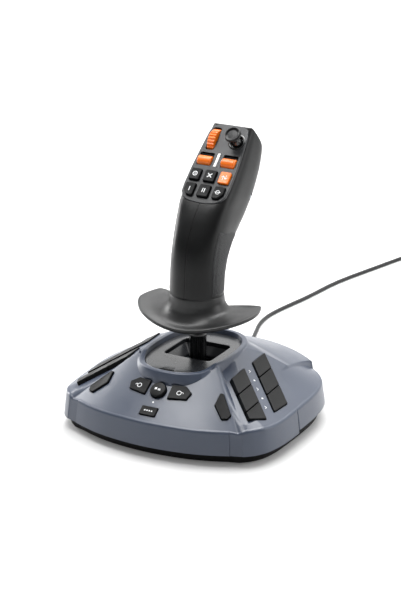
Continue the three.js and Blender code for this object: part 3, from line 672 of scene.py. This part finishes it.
def shell():
    """The cover: up its outer wall, over its top to the neck, and back down on the inside."""
    r = reach(ANGLES)
    hem = hem_height()
    wall_top = top_at(r - 2)
    seam = wall_seam()
    rings = [polar(r + WALL_DRAFT - seam, hem), polar(r + WALL_DRAFT - 0.1 - seam, hem + 0.8)]
    for share in (0.25, 0.5, 0.75, 1):
        rings.append(polar(r + WALL_DRAFT + (0.4 - WALL_DRAFT) * share - seam,
                           hem + 0.8 + (wall_top - 3.4 - hem) * share))
    start = r - 2.4
    top = top_at(start)
    for k in range(1, 6):
        angle = k / 6 * math.pi / 2
        rings.append(polar(r + 0.4 - 2.8 * (1 - math.cos(angle)) - seam * (1 - k / 6),
                           wall_top - 2.6 + (top - wall_top + 2.6) * math.sin(angle)))
    neck = neck_reach(ANGLES, NECK_W, NECK_L) + 1
    for share in np.linspace(0, 1, 120):
        rings.append(on_top(start + (neck - start) * share))
    rim = neck_rim()
    lip = [(5.2, 1.2), (4.9, 0.5), (4.2, 0.1), (3.4, 0), (1.2, 0), (0.6, 0.15), (GAP, 0.6)]
    rings += [neck_ring(grow, rim - drop) for grow, drop in lip]
    ledge = BEZEL_TOP - BEZEL_THICK - GAP
    rings += [neck_ring(GAP, ledge), neck_ring(-4, ledge), neck_ring(-4, BEZEL_TOP - 8),
              neck_ring(3, BEZEL_TOP - 10)]
    for share in (0.94, 0.7, 0.45, 0.2, 0.04):
        rings.append(on_top(start + (neck - start) * share, 3.1))
    rings += [polar(r - WALL, wall_top - 5), polar(r + WALL_DRAFT - WALL, hem)]
    return loft("shell_cover", rings, SLATE, closed=True, sharp=50)


# -------------- keys of the base
def wing_frame():
    return frame_at((0, 0, WING_TOP), (1, 0, -WING_FALL), (WING_FALL, -WING_RISE, 1))


def onto(turn, height, plan):
    """Plan points as points on a sloping frame's own plane."""
    back = turn.inverted()
    return [tuple((back @ Vector((x, y, float(height(x, y))))).xy) for x, y in plan]


def wing_column(near, far, first, near_end, far_end):
    """The outline of a wing's row of keys, and the outlines of its three keys."""
    def at(x, w):
        return (x, w - WING_SKEW * x)

    cuts = [first, *WING_SPLITS]
    plans = [[at(a, near), at(b, near), at(b, far), at(a, far)] for a, b in zip(cuts, cuts[1:])]
    plans.append([at(cuts[-1], near), at(near_end, near), at(far_end, far), at(cuts[-1], far)])
    return [at(first, near), at(near_end, near), at(far_end, far), at(first, far)], plans


def panel_frame(x, y):
    out = Vector((x, y - PANEL_Y)).normalized() * PANEL_SLOPE
    normal = Vector((out.x, out.y, 1))
    return frame_at((x, y, float(panel_height(x, y))), Vector((0, 1, 0)).cross(normal), normal)


# Panel keys: name, the place of its frame, its plan and how far it stands out.
PANEL_KEYS = [
    ("panel_key_round", (0, -81), [(x, -81 + (y + 81) * 0.84) for x, y in circle(0, -81, 8.2)], 3.4),
    ("panel_key_mode", (0, -100), rectangle(0, -100, 17.5, 8.6), 1.4),
    ("panel_key_right", (21.5, -79),
     [(11.4, -86.6), (30.5, -82.6), (32.6, -75.5), (24.4, -71.2), (10.8, -73.4)], 1.8),
    ("panel_key_outer_right", (66, -76),
     [(56.6, -65.6), (60, -64.8), (75.4, -79), (74, -83.6), (68.6, -86.4), (56.6, -77.4)], 1.8),
]
MIRROR = Matrix.Scale(-1, 4, (1, 0, 0))


def flip(obj, name):
    """The same piece on the other side of the middle."""
    copy = obj.copy()
    copy.data = obj.data.copy()
    copy.name = name
    copy.data.transform(MIRROR)
    copy.data.flip_normals()
    bpy.context.scene.collection.objects.link(copy)
    return copy


def place_key(key, name, has_twin):
    """Fits a cap to its key, and a mirrored cap to its twin on the left."""
    if has_twin:
        twin = name.replace("right", "left")
        fit(flip(key, twin + "_cap"), twin, "key_plastic", twin)
    fit(key, name, "key_plastic", name)


def base_keys():
    """Makes the keys, and returns the cutters for their openings."""
    cutters = []
    wing = wing_frame()
    for column, row in enumerate(WING_ROWS):
        edge, plans = wing_column(*row)
        hole = rounded(counter_clockwise(onto(wing, wing_height, edge)), 1.2)
        cutter = prism(hole, wing, -9, 12, 0.5, 0.2)
        cutters += [cutter, flip(cutter, "cutter")]
        for i, plan in enumerate(plans):
            flat = inset(onto(wing, wing_height, plan), KEY_CLEAR)
            name = f"wing_key_right_{column + 1}{i + 1}"
            key = block(name + "_cap", flat, wing, -4.2, 1.6, KEYS, 0.9, 0.6, dish=0.12)
            place_key(key, name, True)
    for name, at, plan, rise in PANEL_KEYS:
        turn = panel_frame(*at)
        flat = counter_clockwise(onto(turn, panel_height, plan))
        is_round, has_twin = "round" in name, name.endswith("right")
        cutter = prism(flat if is_round else rounded(flat, 1.4), turn, -8, 12, 0.5, 0.2)
        cutters.append(cutter)
        if has_twin:
            cutters.append(flip(cutter, "cutter"))
        corner, edge, dish = (0.3, 1.0, -0.5) if is_round else (1.4, 0.6, 0.15)
        key = block(name + "_cap", inset(flat, KEY_CLEAR), turn, -4.6, rise, KEYS, corner, edge, dish)
        place_key(key, name, has_twin)
    return cutters


def base():
    """The cover with its openings, the skirt below it and the pads of the feet."""
    cutters = base_keys()
    turn = frame_at((GLAND.x, 0, GLAND.z), (1, 0, 0), (0, 1, 0))
    cutters.append(prism(circle(0, 0, 4.6), turn, 90, 130))
    fit(subtract(shell(), cutters, 40), "base", "slate_plastic", "base_top_shell")
    r = reach(ANGLES)
    middle = np.full(len(ANGLES), 6.0)
    section = [(5.2, 2), (4.2, 2.3), (3.6, 3), (1.9, 8), (1.7, 8.8), (1.7, 15), (4.2, 15), (4.4, 8.6),
               (6.8, 4.5)]
    rings = [polar(middle, 2), *(polar(r - drawn_in, z) for drawn_in, z in section), polar(middle, 4.5)]
    # The skirt takes the darker black, which is partly painted shade under the overhang of the wall.
    fit(loft("skirt", rings, SHADE_BLACK), "base", "black_plastic", "base_lower_shell")
    pad = [(0, 0), (8.2, 0), (8.8, 0.4), (9, 1), (9, 1.7), (0, 1.7)]
    for name in ("front_left", "front_right", "rear_left", "rear_right"):
        foot, _ = centre_of("foot_" + name)
        fit(lathe("pad_" + name, pad, upright(foot.x, foot.y), PLAIN_RUBBER), "base", "rubber",
            "foot_" + name)


base()


# -------------- bezel and well
def bezel():
    """The plate round the stick, with a notch at the front and a square hole."""
    reach_out = neck_reach(ANGLES, BEZEL_W, BEZEL_L)
    across = np.abs(reach_out * np.cos(ANGLES))
    notch = np.where(np.sin(ANGLES) < 0, 4.5 * (1 - smoothstep(across, 6.6, 8.4)), 0)
    outer = reach_out - notch
    offset = WELL_Y - NECK_Y

    def hole(half_w, half_l):
        """A rounded square about the well, met along the same directions."""
        points = []
        for a in ANGLES:
            low, high = 0, 60
            for _ in range(30):
                r = (low + high) / 2
                px, py = r * math.cos(a), r * math.sin(a) - offset
                inside = (abs(px) / half_w) ** 12 + (abs(py) / half_l) ** 12 < 1
                low, high = (r, high) if inside else (low, r)
            points.append(low)
        return np.array(points)

    inner = hole(WELL_W, WELL_L)
    top = BEZEL_TOP
    rim = [(0, 4), (0, 0.9), (0.25, 0.35), (0.8, 0)]
    rings = [polar(outer - inward, top - drop) for inward, drop in rim]
    for share in (0.2, 0.5, 0.8):
        rings.append(polar(outer - 0.8 + (inner + 0.9 - outer + 0.8) * share, top))
    mouth = [(0.9, 0), (0.3, 0.25), (0, 0.8), (0, 4)]
    rings += [polar(inner + outward, top - drop) for outward, drop in mouth]
    fit(weigh(loft("bezel_cover", rings, BEZEL, closed=True)), "base", "gloss_black", "bezel_plate")
    wide = hole(WELL_W - 0.4, WELL_L - 0.4)
    floor = hole(WELL_FLOOR, WELL_FLOOR)
    wall = [polar(wide + 3.5, top - 4.6), polar(wide, top - 4.6), polar(wide, top - 4.2)]
    wall += [polar(wide + (floor - wide) * s, top - 4.2 + (WELL_BOTTOM - top + 4.2) * s)
             for s in (0.1, 0.5, 0.9, 1)]
    wall += [polar(floor, WELL_BOTTOM - 1.8), polar(floor + 3, WELL_BOTTOM - 1.8)]
    fit(weigh(loft("well_cover", wall, BEZEL, closed=True)), "base", "gloss_black", "well_funnel")


def bezel_tab():
    """A small latch in the plate's notch."""
    turn = upright(0, NECK_Y - BEZEL_L + 1.6, BEZEL_TOP)
    tab = block("bezel_tab", rectangle(0, 0, 12.4, 4.4), turn, -4, 0.6, SHADE_BLACK, 2, 0.9)
    fit(tab, "base", "black_plastic")


bezel()
bezel_tab()


# -------------- stick
def stick():
    """A ringed sleeve on the shaft, and the collar under the hand rest."""
    up = upright(PIVOT.x, PIVOT.y)
    profile = [(0, 42), (SHAFT_R - 0.4, 42), (SHAFT_R, 44), (SHAFT_R, 84), (SHAFT_R + 0.25, 84.6),
               (SHAFT_R + 0.25, 87), (SHAFT_R, 87.6), (SHAFT_R, 155), (0, 155)]
    sleeve = lathe("stick_sleeve", profile, up, GLOSS, 72)
    fit(sleeve, "stick", "black_plastic")
    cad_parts["stick_shaft"].data.materials[0] = SATIN
    collar = [(10.6, 93), (13.2, 93), (13.5, 93.5), (12.5, 101.5), (12.2, 102), (10.2, 102), (10.4, 95)]
    fit(lathe("collar", collar, up, SATIN, 72, closed=True), "grip", "black_plastic", "rest_collar")


stick()


# -------------- hand rest
def hand_rest():
    """A dished rest with a tip at each side; its neck wraps the foot of the grip."""
    turn = np.linspace(0, 2 * math.pi, 176, endpoint=False)
    forward = np.maximum(0, -np.sin(turn)) ** 1.4
    behind = smoothstep(np.sin(turn), 0.42, 0.66)
    bore = REST_BORE_R * np.cos(turn), PIVOT.y + REST_BORE_R * np.sin(turn)
    rings = [ring_of(*bore, 103.5)]
    for front, side, back, z_front, z_side, z_back in catmull(REST_RINGS, 5):
        r = side + (front - side) * forward
        r = r + (back - r) * behind
        z = z_side + (z_front - z_side) * forward
        z = z + (z_back - z) * behind
        rings.append(ring_of(r * np.cos(turn), REST_Y + r * np.sin(turn), z))
    rings.append(ring_of(*bore, 120.7))
    fit(loft("palm_rest", rings, REST, closed=True, sharp=60), "grip", "black_plastic", "hand_rest")


hand_rest()


# -------------- grip
NORMAL = Vector((1, 0, 0)).cross(FACE_SLOPE)
FACE = frame_at(FACE_ORIGIN, (1, 0, 0), NORMAL)
TRIGGER_FRAME = frame_at(TRIGGER_PLACE, (-1, 0, 0), TRIGGER_NORMAL)
SCREW_FRAMES = [frame_at(spot, (0, 1, 0), (1, 0, 0)) for spot in SCREWS]
SECTIONS = np.array(catmull(GRIP, 12))


def grip_section(z):
    """Front y, back y, half width and squareness at a height."""
    return [np.interp(z, SECTIONS[:, 0], SECTIONS[:, k]) for k in range(1, 5)]


def grip_ring(z):
    """One level of the grip, cut by the face and the slanted top with their edges rounded."""
    front, back, half, power = grip_section(z)
    middle, depth = (front + back) / 2, (back - front) / 2
    face_y = FACE_ORIGIN.y + (z - FACE_ORIGIN.z) * -NORMAL.z / NORMAL.y
    top_y = FACE_ORIGIN.y + (HEAD_TOP - (z - FACE_ORIGIN.z) * FACE_SLOPE.z) / FACE_SLOPE.y
    low = max(middle - depth, face_y)
    high = min(middle + depth, top_y)
    centre, reach_y = (low + high) / 2, (high - low) / 2
    even = np.linspace(0, 2 * math.pi, 128, endpoint=False)
    close = np.array([-0.8, -0.4, -0.18, 0, 0.18, 0.4, 0.8]) / half
    t = np.sort(np.concatenate([even[np.abs(np.cos(even)) > 0.9 / half],
                                math.pi / 2 + close, 1.5 * math.pi + close]))
    x, y = half * np.cos(t), reach_y * np.sin(t)
    length = np.hypot(x, y)
    x, y = x / length, y / length
    near, far = np.zeros_like(t), np.full_like(t, 120.0)
    for _ in range(34):
        r = (near + far) / 2
        inside = (np.abs(r * x) / half) ** power + (np.abs(centre + r * y - middle) / depth) ** power < 1
        near, far = np.where(inside, r, near), np.where(inside, far, r)
    steep = np.where(np.abs(y) < 1e-6, 1e-6, y)
    ahead = np.where(steep < 0, (face_y - centre) / steep, 400)
    behind = np.where(steep > 0, (top_y - centre) / steep, 400)
    ahead, behind = (np.clip(v, 0.4, 400) for v in (ahead, behind))
    r = sum(limit ** -EDGE_SHARPNESS for limit in (near, ahead, behind)) ** (-1 / EDGE_SHARPNESS)
    r = r - groove(r * x, 0.35, 0.2) * (np.abs(x * r) < 0.9) * min(reach_y / 8, 1)
    return ring_of(r * x, centre + r * y, z)


def grip():
    """The grip's body, with room for the face plate, the trigger and the screws."""
    levels = list(np.arange(121.4, 200, 2.6)) + list(np.arange(200, 274.6, 1.1))
    first = grip_ring(121)
    body = loft("grip_body", [[(x * 0.99, y * 0.985, 121) for x, y, _ in first]]
                + [grip_ring(z) for z in levels], SATIN, sharp=50)
    slot = rounded(rectangle(0, TRIGGER_Q, TRIGGER_W + 1.4, TRIGGER_L + 2), 2)
    cutters = [prism(inset(both_sides(PLATE), -GAP), FACE, -PLATE_THICK - GAP, 30),
               prism(slot, TRIGGER_FRAME, -12, 20)]
    cutters += [prism(circle(0, 0, 3.2, 32), turn, -1.8, 20) for turn in SCREW_FRAMES]
    fit(subtract(body, cutters, 40), "grip", "black_plastic", "grip_shell_left", "grip_shell_right")


def grip_point(z, angle, grow):
    """A point on the grip's side, or `grow` outside it."""
    front, back, half, power = grip_section(z)
    c, s = math.cos(angle), math.sin(angle)
    x = (half + grow) * math.copysign(abs(c) ** (2 / power), c)
    y = (front + back) / 2 + ((back - front) / 2 + grow) * math.copysign(abs(s) ** (2 / power), s)
    return x, y, z


def grip_pads():
    """Rubber inlays on both sides of the hand grip, with rounded borders."""
    across, up = 44, 52
    for name, side in (("left", -1), ("right", 1)):
        points, faces = [], []
        for k in range(up + 1):
            for i in range(across + 1):
                share = i / across
                high = PAD_HIGH_FRONT + (PAD_HIGH_BACK - PAD_HIGH_FRONT) * share
                z = PAD_LOW + (high - PAD_LOW) * k / up
                edge = min(i, across - i, k, up - k)
                grow = (-1.4, 0.25, 0.4, 0.42)[min(edge, 3)]
                x, y, z = grip_point(z, PAD_FROM + (PAD_TO - PAD_FROM) * share, grow)
                points.append((x * side, y, z))
        for k in range(up):
            for i in range(across):
                a = k * (across + 1) + i
                quad = (a, a + 1, a + across + 2, a + across + 1)
                faces.append(quad if side > 0 else tuple(reversed(quad)))
        pad = mesh_object(f"inlay_{name}", points, faces, RUBBER, 60)
        fit(pad, "grip", "rubber", f"grip_pad_{name}")


def screws():
    """Screw heads with a round socket."""
    profile = [(0, -1.5), (2.8, -1.5), (2.8, -0.6), (2.5, -0.3), (1.4, -0.3), (1.2, -0.5), (1.1, -1.1),
               (0, -1.1)]
    for i, turn in enumerate(SCREW_FRAMES):
        head = lathe(f"screw_head_{i + 1}", profile, turn, STEEL, 36)
        fit(head, "grip", "steel", f"grip_screw_{i + 1}")


def trigger():
    outline = rectangle(0, TRIGGER_Q, TRIGGER_W, TRIGGER_L)
    body = block("trigger_blade", outline, TRIGGER_FRAME, -7, 9, KEYS, 3, 2.4, dish=1.2, foot=0.6)
    fit(body, "trigger", "key_plastic", "trigger")


grip()
grip_pads()
screws()
trigger()


# -------------- face controls
def key_outline(p, q, w, h, cut_side=0):
    """A key's outline; a lower outer key loses the corner that faces the edge of the plate."""
    outline = rectangle(p, q, w, h)
    if cut_side:
        corner = next(i for i, (x, y) in enumerate(outline) if (x - p) * cut_side > 0 and y < q)
        x, y = outline[corner]
        cut = [(x - cut_side * 4.2, y), (x, y + 5.4)]
        outline[corner:corner + 1] = cut if cut_side > 0 else list(reversed(cut))
    return outline


def face_keys():
    """Makes the six keys, and returns their outlines."""
    outlines = []
    for name, q, h in KEY_ROWS:
        for i, p in enumerate(KEY_COLUMNS):
            w = 11.6 if i == 1 else 10.6
            outline = key_outline(p, q, w, h, (i - 1) if name == "lower" else 0)
            outlines.append(outline)
            node_name = f"grip_key_{name}_{i + 1}"
            orange = node_name == "grip_key_upper_3"
            key = block(node_name + "_cap", outline, FACE, -5, FACE_KEY_TOP, ORANGE if orange else KEYS,
                        1.4, 0.7, dish=0.15)
            fit(key, node_name, "orange_plastic" if orange else "key_plastic", node_name)
    return outlines


def face_plate(outlines):
    """The plate on the face, with an opening for each control."""
    body = block("face_cover", both_sides(PLATE), FACE, -PLATE_THICK, 0, PLATE_GREY, 3, 0.5)
    holes = [rounded(inset(outline, -0.45), 1.8) for outline in outlines]
    holes += [rounded(rectangle(0, FACE_MIDDLE_Q, LIGHT_W + 0.6, LIGHT_L + 0.6), 0.6),
              rounded(rectangle(WHEEL_P, WHEEL_Q, WHEEL_W + 1.6, WHEEL_SLOT), 2.4),
              circle(MINI_P, MINI_Q, MINI_HOLE, 48)]
    holes += [rounded(rectangle(p, FACE_MIDDLE_Q, ROCKER_W + 0.8, ROCKER_LONG + 0.8), 1.4)
              for p in (-ROCKER_P, ROCKER_P)]
    cutters = [prism(hole, FACE, -6, 9) for hole in holes]
    fit(weigh(subtract(body, cutters, 30)), "grip", "key_plastic", "face_plate")


def drum(name, profile, p, q, sunk, material, ribs=0, rib_depth=0.0, sides=96):
    """A drum about an axis across the face, from (radius, place across) points."""
    centre = FACE @ Vector((p, q, -sunk))
    turn = frame_at(centre, FACE_SLOPE, (1, 0, 0))
    rings = []
    for r, h in profile:
        ring = []
        for k in range(sides):
            a = 2 * math.pi * k / sides
            wave = rib_depth * (0.5 - 0.5 * math.cos(ribs * a)) if ribs and r > 4 else 0
            ring.append(((r - wave) * math.cos(a), (r - wave) * math.sin(a), h))
        rings.append(placed(turn, ring))
    return weigh(loft(name, rings, material, sharp=50))


def barrel(r, half, edge):
    """A drum's profile with rounded rims."""
    profile = [(0.4, -half), (r - edge, -half)]
    profile += [(r - edge + edge * math.sin(a), -half + edge - edge * math.cos(a))
                for a in (0.4, 0.8, 1.2)]
    profile.append((r, -half + edge))
    return profile + [(a, -b) for a, b in reversed(profile)]


def rockers_and_wheel():
    """Each rocker is a drum that is a little smaller than its opening, with a near-black block above it
    that is painted shade for the gap there.
    """
    for name, side in (("left", -1), ("right", 1)):
        p = side * ROCKER_P
        body = drum(f"rocker_{name}_cap", barrel(ROCKER_R - 1.4, ROCKER_W / 2, 1.5), p,
                    FACE_MIDDLE_Q - 1.6, ROCKER_SUNK - 0.6, ORANGE)
        # Painted shade: a near-black block fills the top of the opening so that it reads as a shadowed
        # gap above the drum.
        gap_shade = block(f"rocker_{name}_heel", rectangle(p, FACE_MIDDLE_Q + 4, ROCKER_W - 0.6, 4.4), FACE,
                     -4.6, -1.2, SHADE_BLACK, 0.6, 0.6)
        fit(gap_shade, f"rocker_{name}", "black_plastic")
        fit(body, f"rocker_{name}", "orange_plastic", f"rocker_{name}")
    wheel = drum("wheel_rim", barrel(WHEEL_R, WHEEL_W / 2, 0.9), WHEEL_P, WHEEL_Q, WHEEL_SUNK, ORANGE,
                 WHEEL_RIBS, RIB_DEPTH, 300)
    fit(wheel, "thumb_wheel", "orange_plastic", "thumb_wheel")


def mini_stick():
    """A dished cap on a rubber boot that comes out of a lipped socket."""
    turn = FACE @ Matrix.Translation((MINI_P, MINI_Q, 0))
    curve = [(3, -7), (5.2, -2), (5.1, -0.8), (4.2, 1.4), (3.1, 3.6), (2.6, 6.5), (2.6, 9)]
    boot = [(0, -7)] + [tuple(p) for p in catmull(curve, 5)] + [(0, 9)]
    fit(lathe("mini_boot", boot, turn, GLOSS, 56), "mini_stick", "gloss_black")
    curve = [(0, 8.6), (3, 8.8), (5.4, 10.2), (7.0, 10.9), (8.0, 11.7), (8.2, 12.6), (8.0, 13.7),
             (7.4, 14.4), (6.6, 14.3), (5.6, 13.6), (5, 13.2), (3, 13.3), (0.4, 13.4)]
    cap = [tuple(p) for p in catmull(curve, 5)]
    fit(lathe("mini_cap", cap, turn, SATIN, 72, 50), "mini_stick", "key_plastic", "mini_stick")
    lip = [(6.9, -0.6), (7.0, 0.4), (7.4, 0.75), (8.0, 0.7), (8.5, 0.3), (8.6, -0.6)]
    fit(lathe("mini_socket", lip, turn, GLOSS, 72, closed=True), "grip", "gloss_black")


def light_bar():
    outline = rectangle(LIGHT_P, FACE_MIDDLE_Q, LIGHT_W, LIGHT_L)
    guide = block("light_guide", outline, FACE, -3, 0.4, CLEAR, 0.5, 0.4)
    fit(guide, "grip", "clear_plastic", "light_bar")


face_plate(face_keys())
rockers_and_wheel()
mini_stick()
light_bar()


# -------------- printed marks
def hoop(x, y, r, wide, sides=20):
    """A ring made of short pieces."""
    ring = []
    for k in range(sides):
        a, b = (2 * math.pi * (k + i) / sides for i in (0, 1))
        ring.append([(x + q * math.cos(t), y + q * math.sin(t))
                     for q, t in ((r - wide, a), (r, a), (r, b), (r - wide, b))])
    return ring


def arrow(x, y, size, angle):
    """A head made of two short bars."""
    c, s = math.cos(angle), math.sin(angle)
    turned = []
    for side in (-1, 1):
        dx, dy = side * size * 0.35, -size * 0.3
        turned.append(rectangle(x + c * dx - s * dy, y + s * dx + c * dy, 0.55, size, angle + side * 0.8))
    return turned


def mark(name, polygons, turn, height, body):
    """Flat printed shapes that stand a hair above the surface at that height."""
    points, faces = [], []
    for polygon in polygons:
        start, count = len(points), len(polygon)
        for level in (height - MARK_THICK, height + 0.04):
            points += placed(turn, [(x, y, level) for x, y in polygon])
        faces.append(tuple(start + count + i for i in range(count)))
        faces.append(tuple(start + i for i in reversed(range(count))))
        for i in range(count):
            j = (i + 1) % count
            faces.append((start + i, start + j, start + count + j, start + count + i))
    return fit(mesh_object(name, points, faces, PRINT), body, "clear_plastic")


def face_marks():
    left, middle, right = KEY_COLUMNS
    top, bottom = (q for _, q, _ in KEY_ROWS)
    marks = {
        "upper_1": hoop(left, top, 2.5, 0.8) + [circle(left, top, 0.7, 12)],
        "upper_2": [rectangle(middle, top, 0.9, 6, 0.8), rectangle(middle, top, 0.9, 6, -0.8)],
        "upper_3": arrow(right - 1.3, top + 1.6, 2.4, 0) + [rectangle(right - 1.3, top - 0.4, 0.55, 4.6)]
        + arrow(right + 1.5, top - 1.6, 2.4, math.pi) + [rectangle(right + 1.5, top + 0.4, 0.55, 4.6)],
        "lower_1": [rectangle(left + 0.5, bottom, 0.8, 4.4)],
        "lower_2": [rectangle(middle - 1, bottom, 0.8, 4.4), rectangle(middle + 1, bottom, 0.8, 4.4)],
        "lower_3": hoop(right - 0.5, bottom, 2.2, 0.6) + [rectangle(right - 0.5, bottom, 0.6, 6.2, 1.57)],
    }
    for name, shapes in marks.items():
        mark(f"mark_{name}", shapes, FACE, FACE_KEY_TOP - MARK_SINK, f"grip_key_{name}")


def base_marks():
    shapes = {
        "panel_key_round": [rectangle(-1.7, 0.2, 2.2, 2.2), rectangle(1.9, 0.2, 2.6, 0.7),
                            rectangle(1.9, -0.9, 2.6, 0.7)],
        "panel_key_mode": [rectangle(x, 0, 1.3, 1.3) for x in (-3.6, -1.2, 1.2, 3.6)],
        "panel_key_right": hoop(-0.6, 0, 2.4, 0.6) + arrow(2.6, 1.6, 1.8, 0),
    }
    for name, at, _, rise in PANEL_KEYS:
        if name in shapes:
            height = rise + (0.44 if "round" in name else -MARK_SINK)
            piece = mark("mark_" + name, shapes[name], panel_frame(*at), height, name)
            if name.endswith("right"):
                other = name.replace("right", "left")
                twin = flip(piece, "mark_" + other)
                fit(twin, other, "clear_plastic")
    for side in (-1, 1):
        for k, x in enumerate(WING_MARKS_X):
            y = WING_MARKS_LINE - WING_SKEW * x
            angle = np.array([math.atan2(y - NECK_Y, x)])
            z = float(top_height(angle, np.array([float(x)]), np.array([y]))[0])
            fall = side * WING_FALL
            turn = frame_at((side * x, y, z), (1, 0, -fall), (fall, -WING_RISE, 1))
            shape = [circle(0, 0, 1.0, 14)] if k % 2 else arrow(0, 0, 2.4, -side * 0.75)
            mark(f"mark_wing_{'left' if side < 0 else 'right'}_{k}", shape, turn, 0.06, "base")
    mark("mark_lamp", [circle(0, 0, 0.9, 14)], panel_frame(0, -91.5), 0.05, "base")


face_marks()
base_marks()


# -------------- inside
def inside():
    """The inner parts keep their CAD shapes, with a finish and rounded edges."""
    finishes = {"ballast_plate": STEEL, "base_board": BOARD, "gimbal_cradle": SATIN, "gimbal_yoke": STEEL,
                "mini_stick_ring": STEEL, "key_mat_left": PLAIN_RUBBER, "key_mat_right": PLAIN_RUBBER}
    for name, material in finishes.items():
        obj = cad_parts[name]
        obj.data.materials.clear()
        obj.data.materials.append(material)
        bevel = obj.modifiers.new("edges", "BEVEL")
        bevel.width = 0.35 * MM
        bevel.segments = 2
        bevel.limit_method = "ANGLE"


inside()


# -------------- floor and light
def floor():
    """A wide pale floor that glows a little, so that it stays white behind the object."""
    mesh = bpy.data.meshes.new("floor")
    corners = [(x * FLOOR_HALF, y * FLOOR_HALF, 0) for x, y in ((-1, -1), (1, -1), (1, 1), (-1, 1))]
    mesh.from_pydata(corners, [], [(0, 1, 2, 3)])
    obj = add_object("floor", mesh)
    paper = finish_of("paper", "cfcfcf", 0.7, grain=300, bump=0.01, shade=0.004, specular=0.2)
    shader = paper.node_tree.nodes["Principled BSDF"]
    shader.inputs["Emission Color"].default_value = (1, 1, 1, 1)
    shader.inputs["Emission Strength"].default_value = 0.1
    mesh.materials.append(paper)


def area_light(name, place, target, size, power, in_gloss):
    light = bpy.data.lights.new(name, "AREA")
    light.shape = "RECTANGLE"
    light.size, light.size_y = size
    light.energy = power
    obj = add_object(name, light)
    obj.location = place
    obj.rotation_euler = (Vector(target) - Vector(place)).to_track_quat("-Z", "Y").to_euler()
    obj.visible_glossy = in_gloss


def lights():
    """Area lights, and a sky that is brighter overhead and behind the object."""
    world = bpy.data.worlds.new("studio")
    bpy.context.scene.world = world
    world.use_nodes = True
    tree = world.node_tree
    link = tree.links.new
    sky = tree.nodes["Background"]
    where, parts, total = (node(tree, kind) for kind in ("TexCoord", "SeparateXYZ", "Math"))
    link(where.outputs["Generated"], parts.inputs["Vector"])
    height = node(tree, "MapRange", From_Min=0.0, From_Max=0.9, To_Min=0.06, To_Max=0.7)
    behind = node(tree, "MapRange", From_Min=0.1, From_Max=0.9, To_Min=0.0, To_Max=1.1)
    for i, (axis, share) in enumerate((("Z", height), ("Y", behind))):
        link(parts.outputs[axis], share.inputs["Value"])
        link(share.outputs["Result"], total.inputs[i])
    link(total.outputs[0], sky.inputs["Strength"])
    sky.inputs["Color"].default_value = (1, 1, 1, 1)
    for name, values in LIGHTS.items():
        area_light(name, *values)
    bpy.context.scene.view_settings.view_transform = "Standard"


floor()
lights()
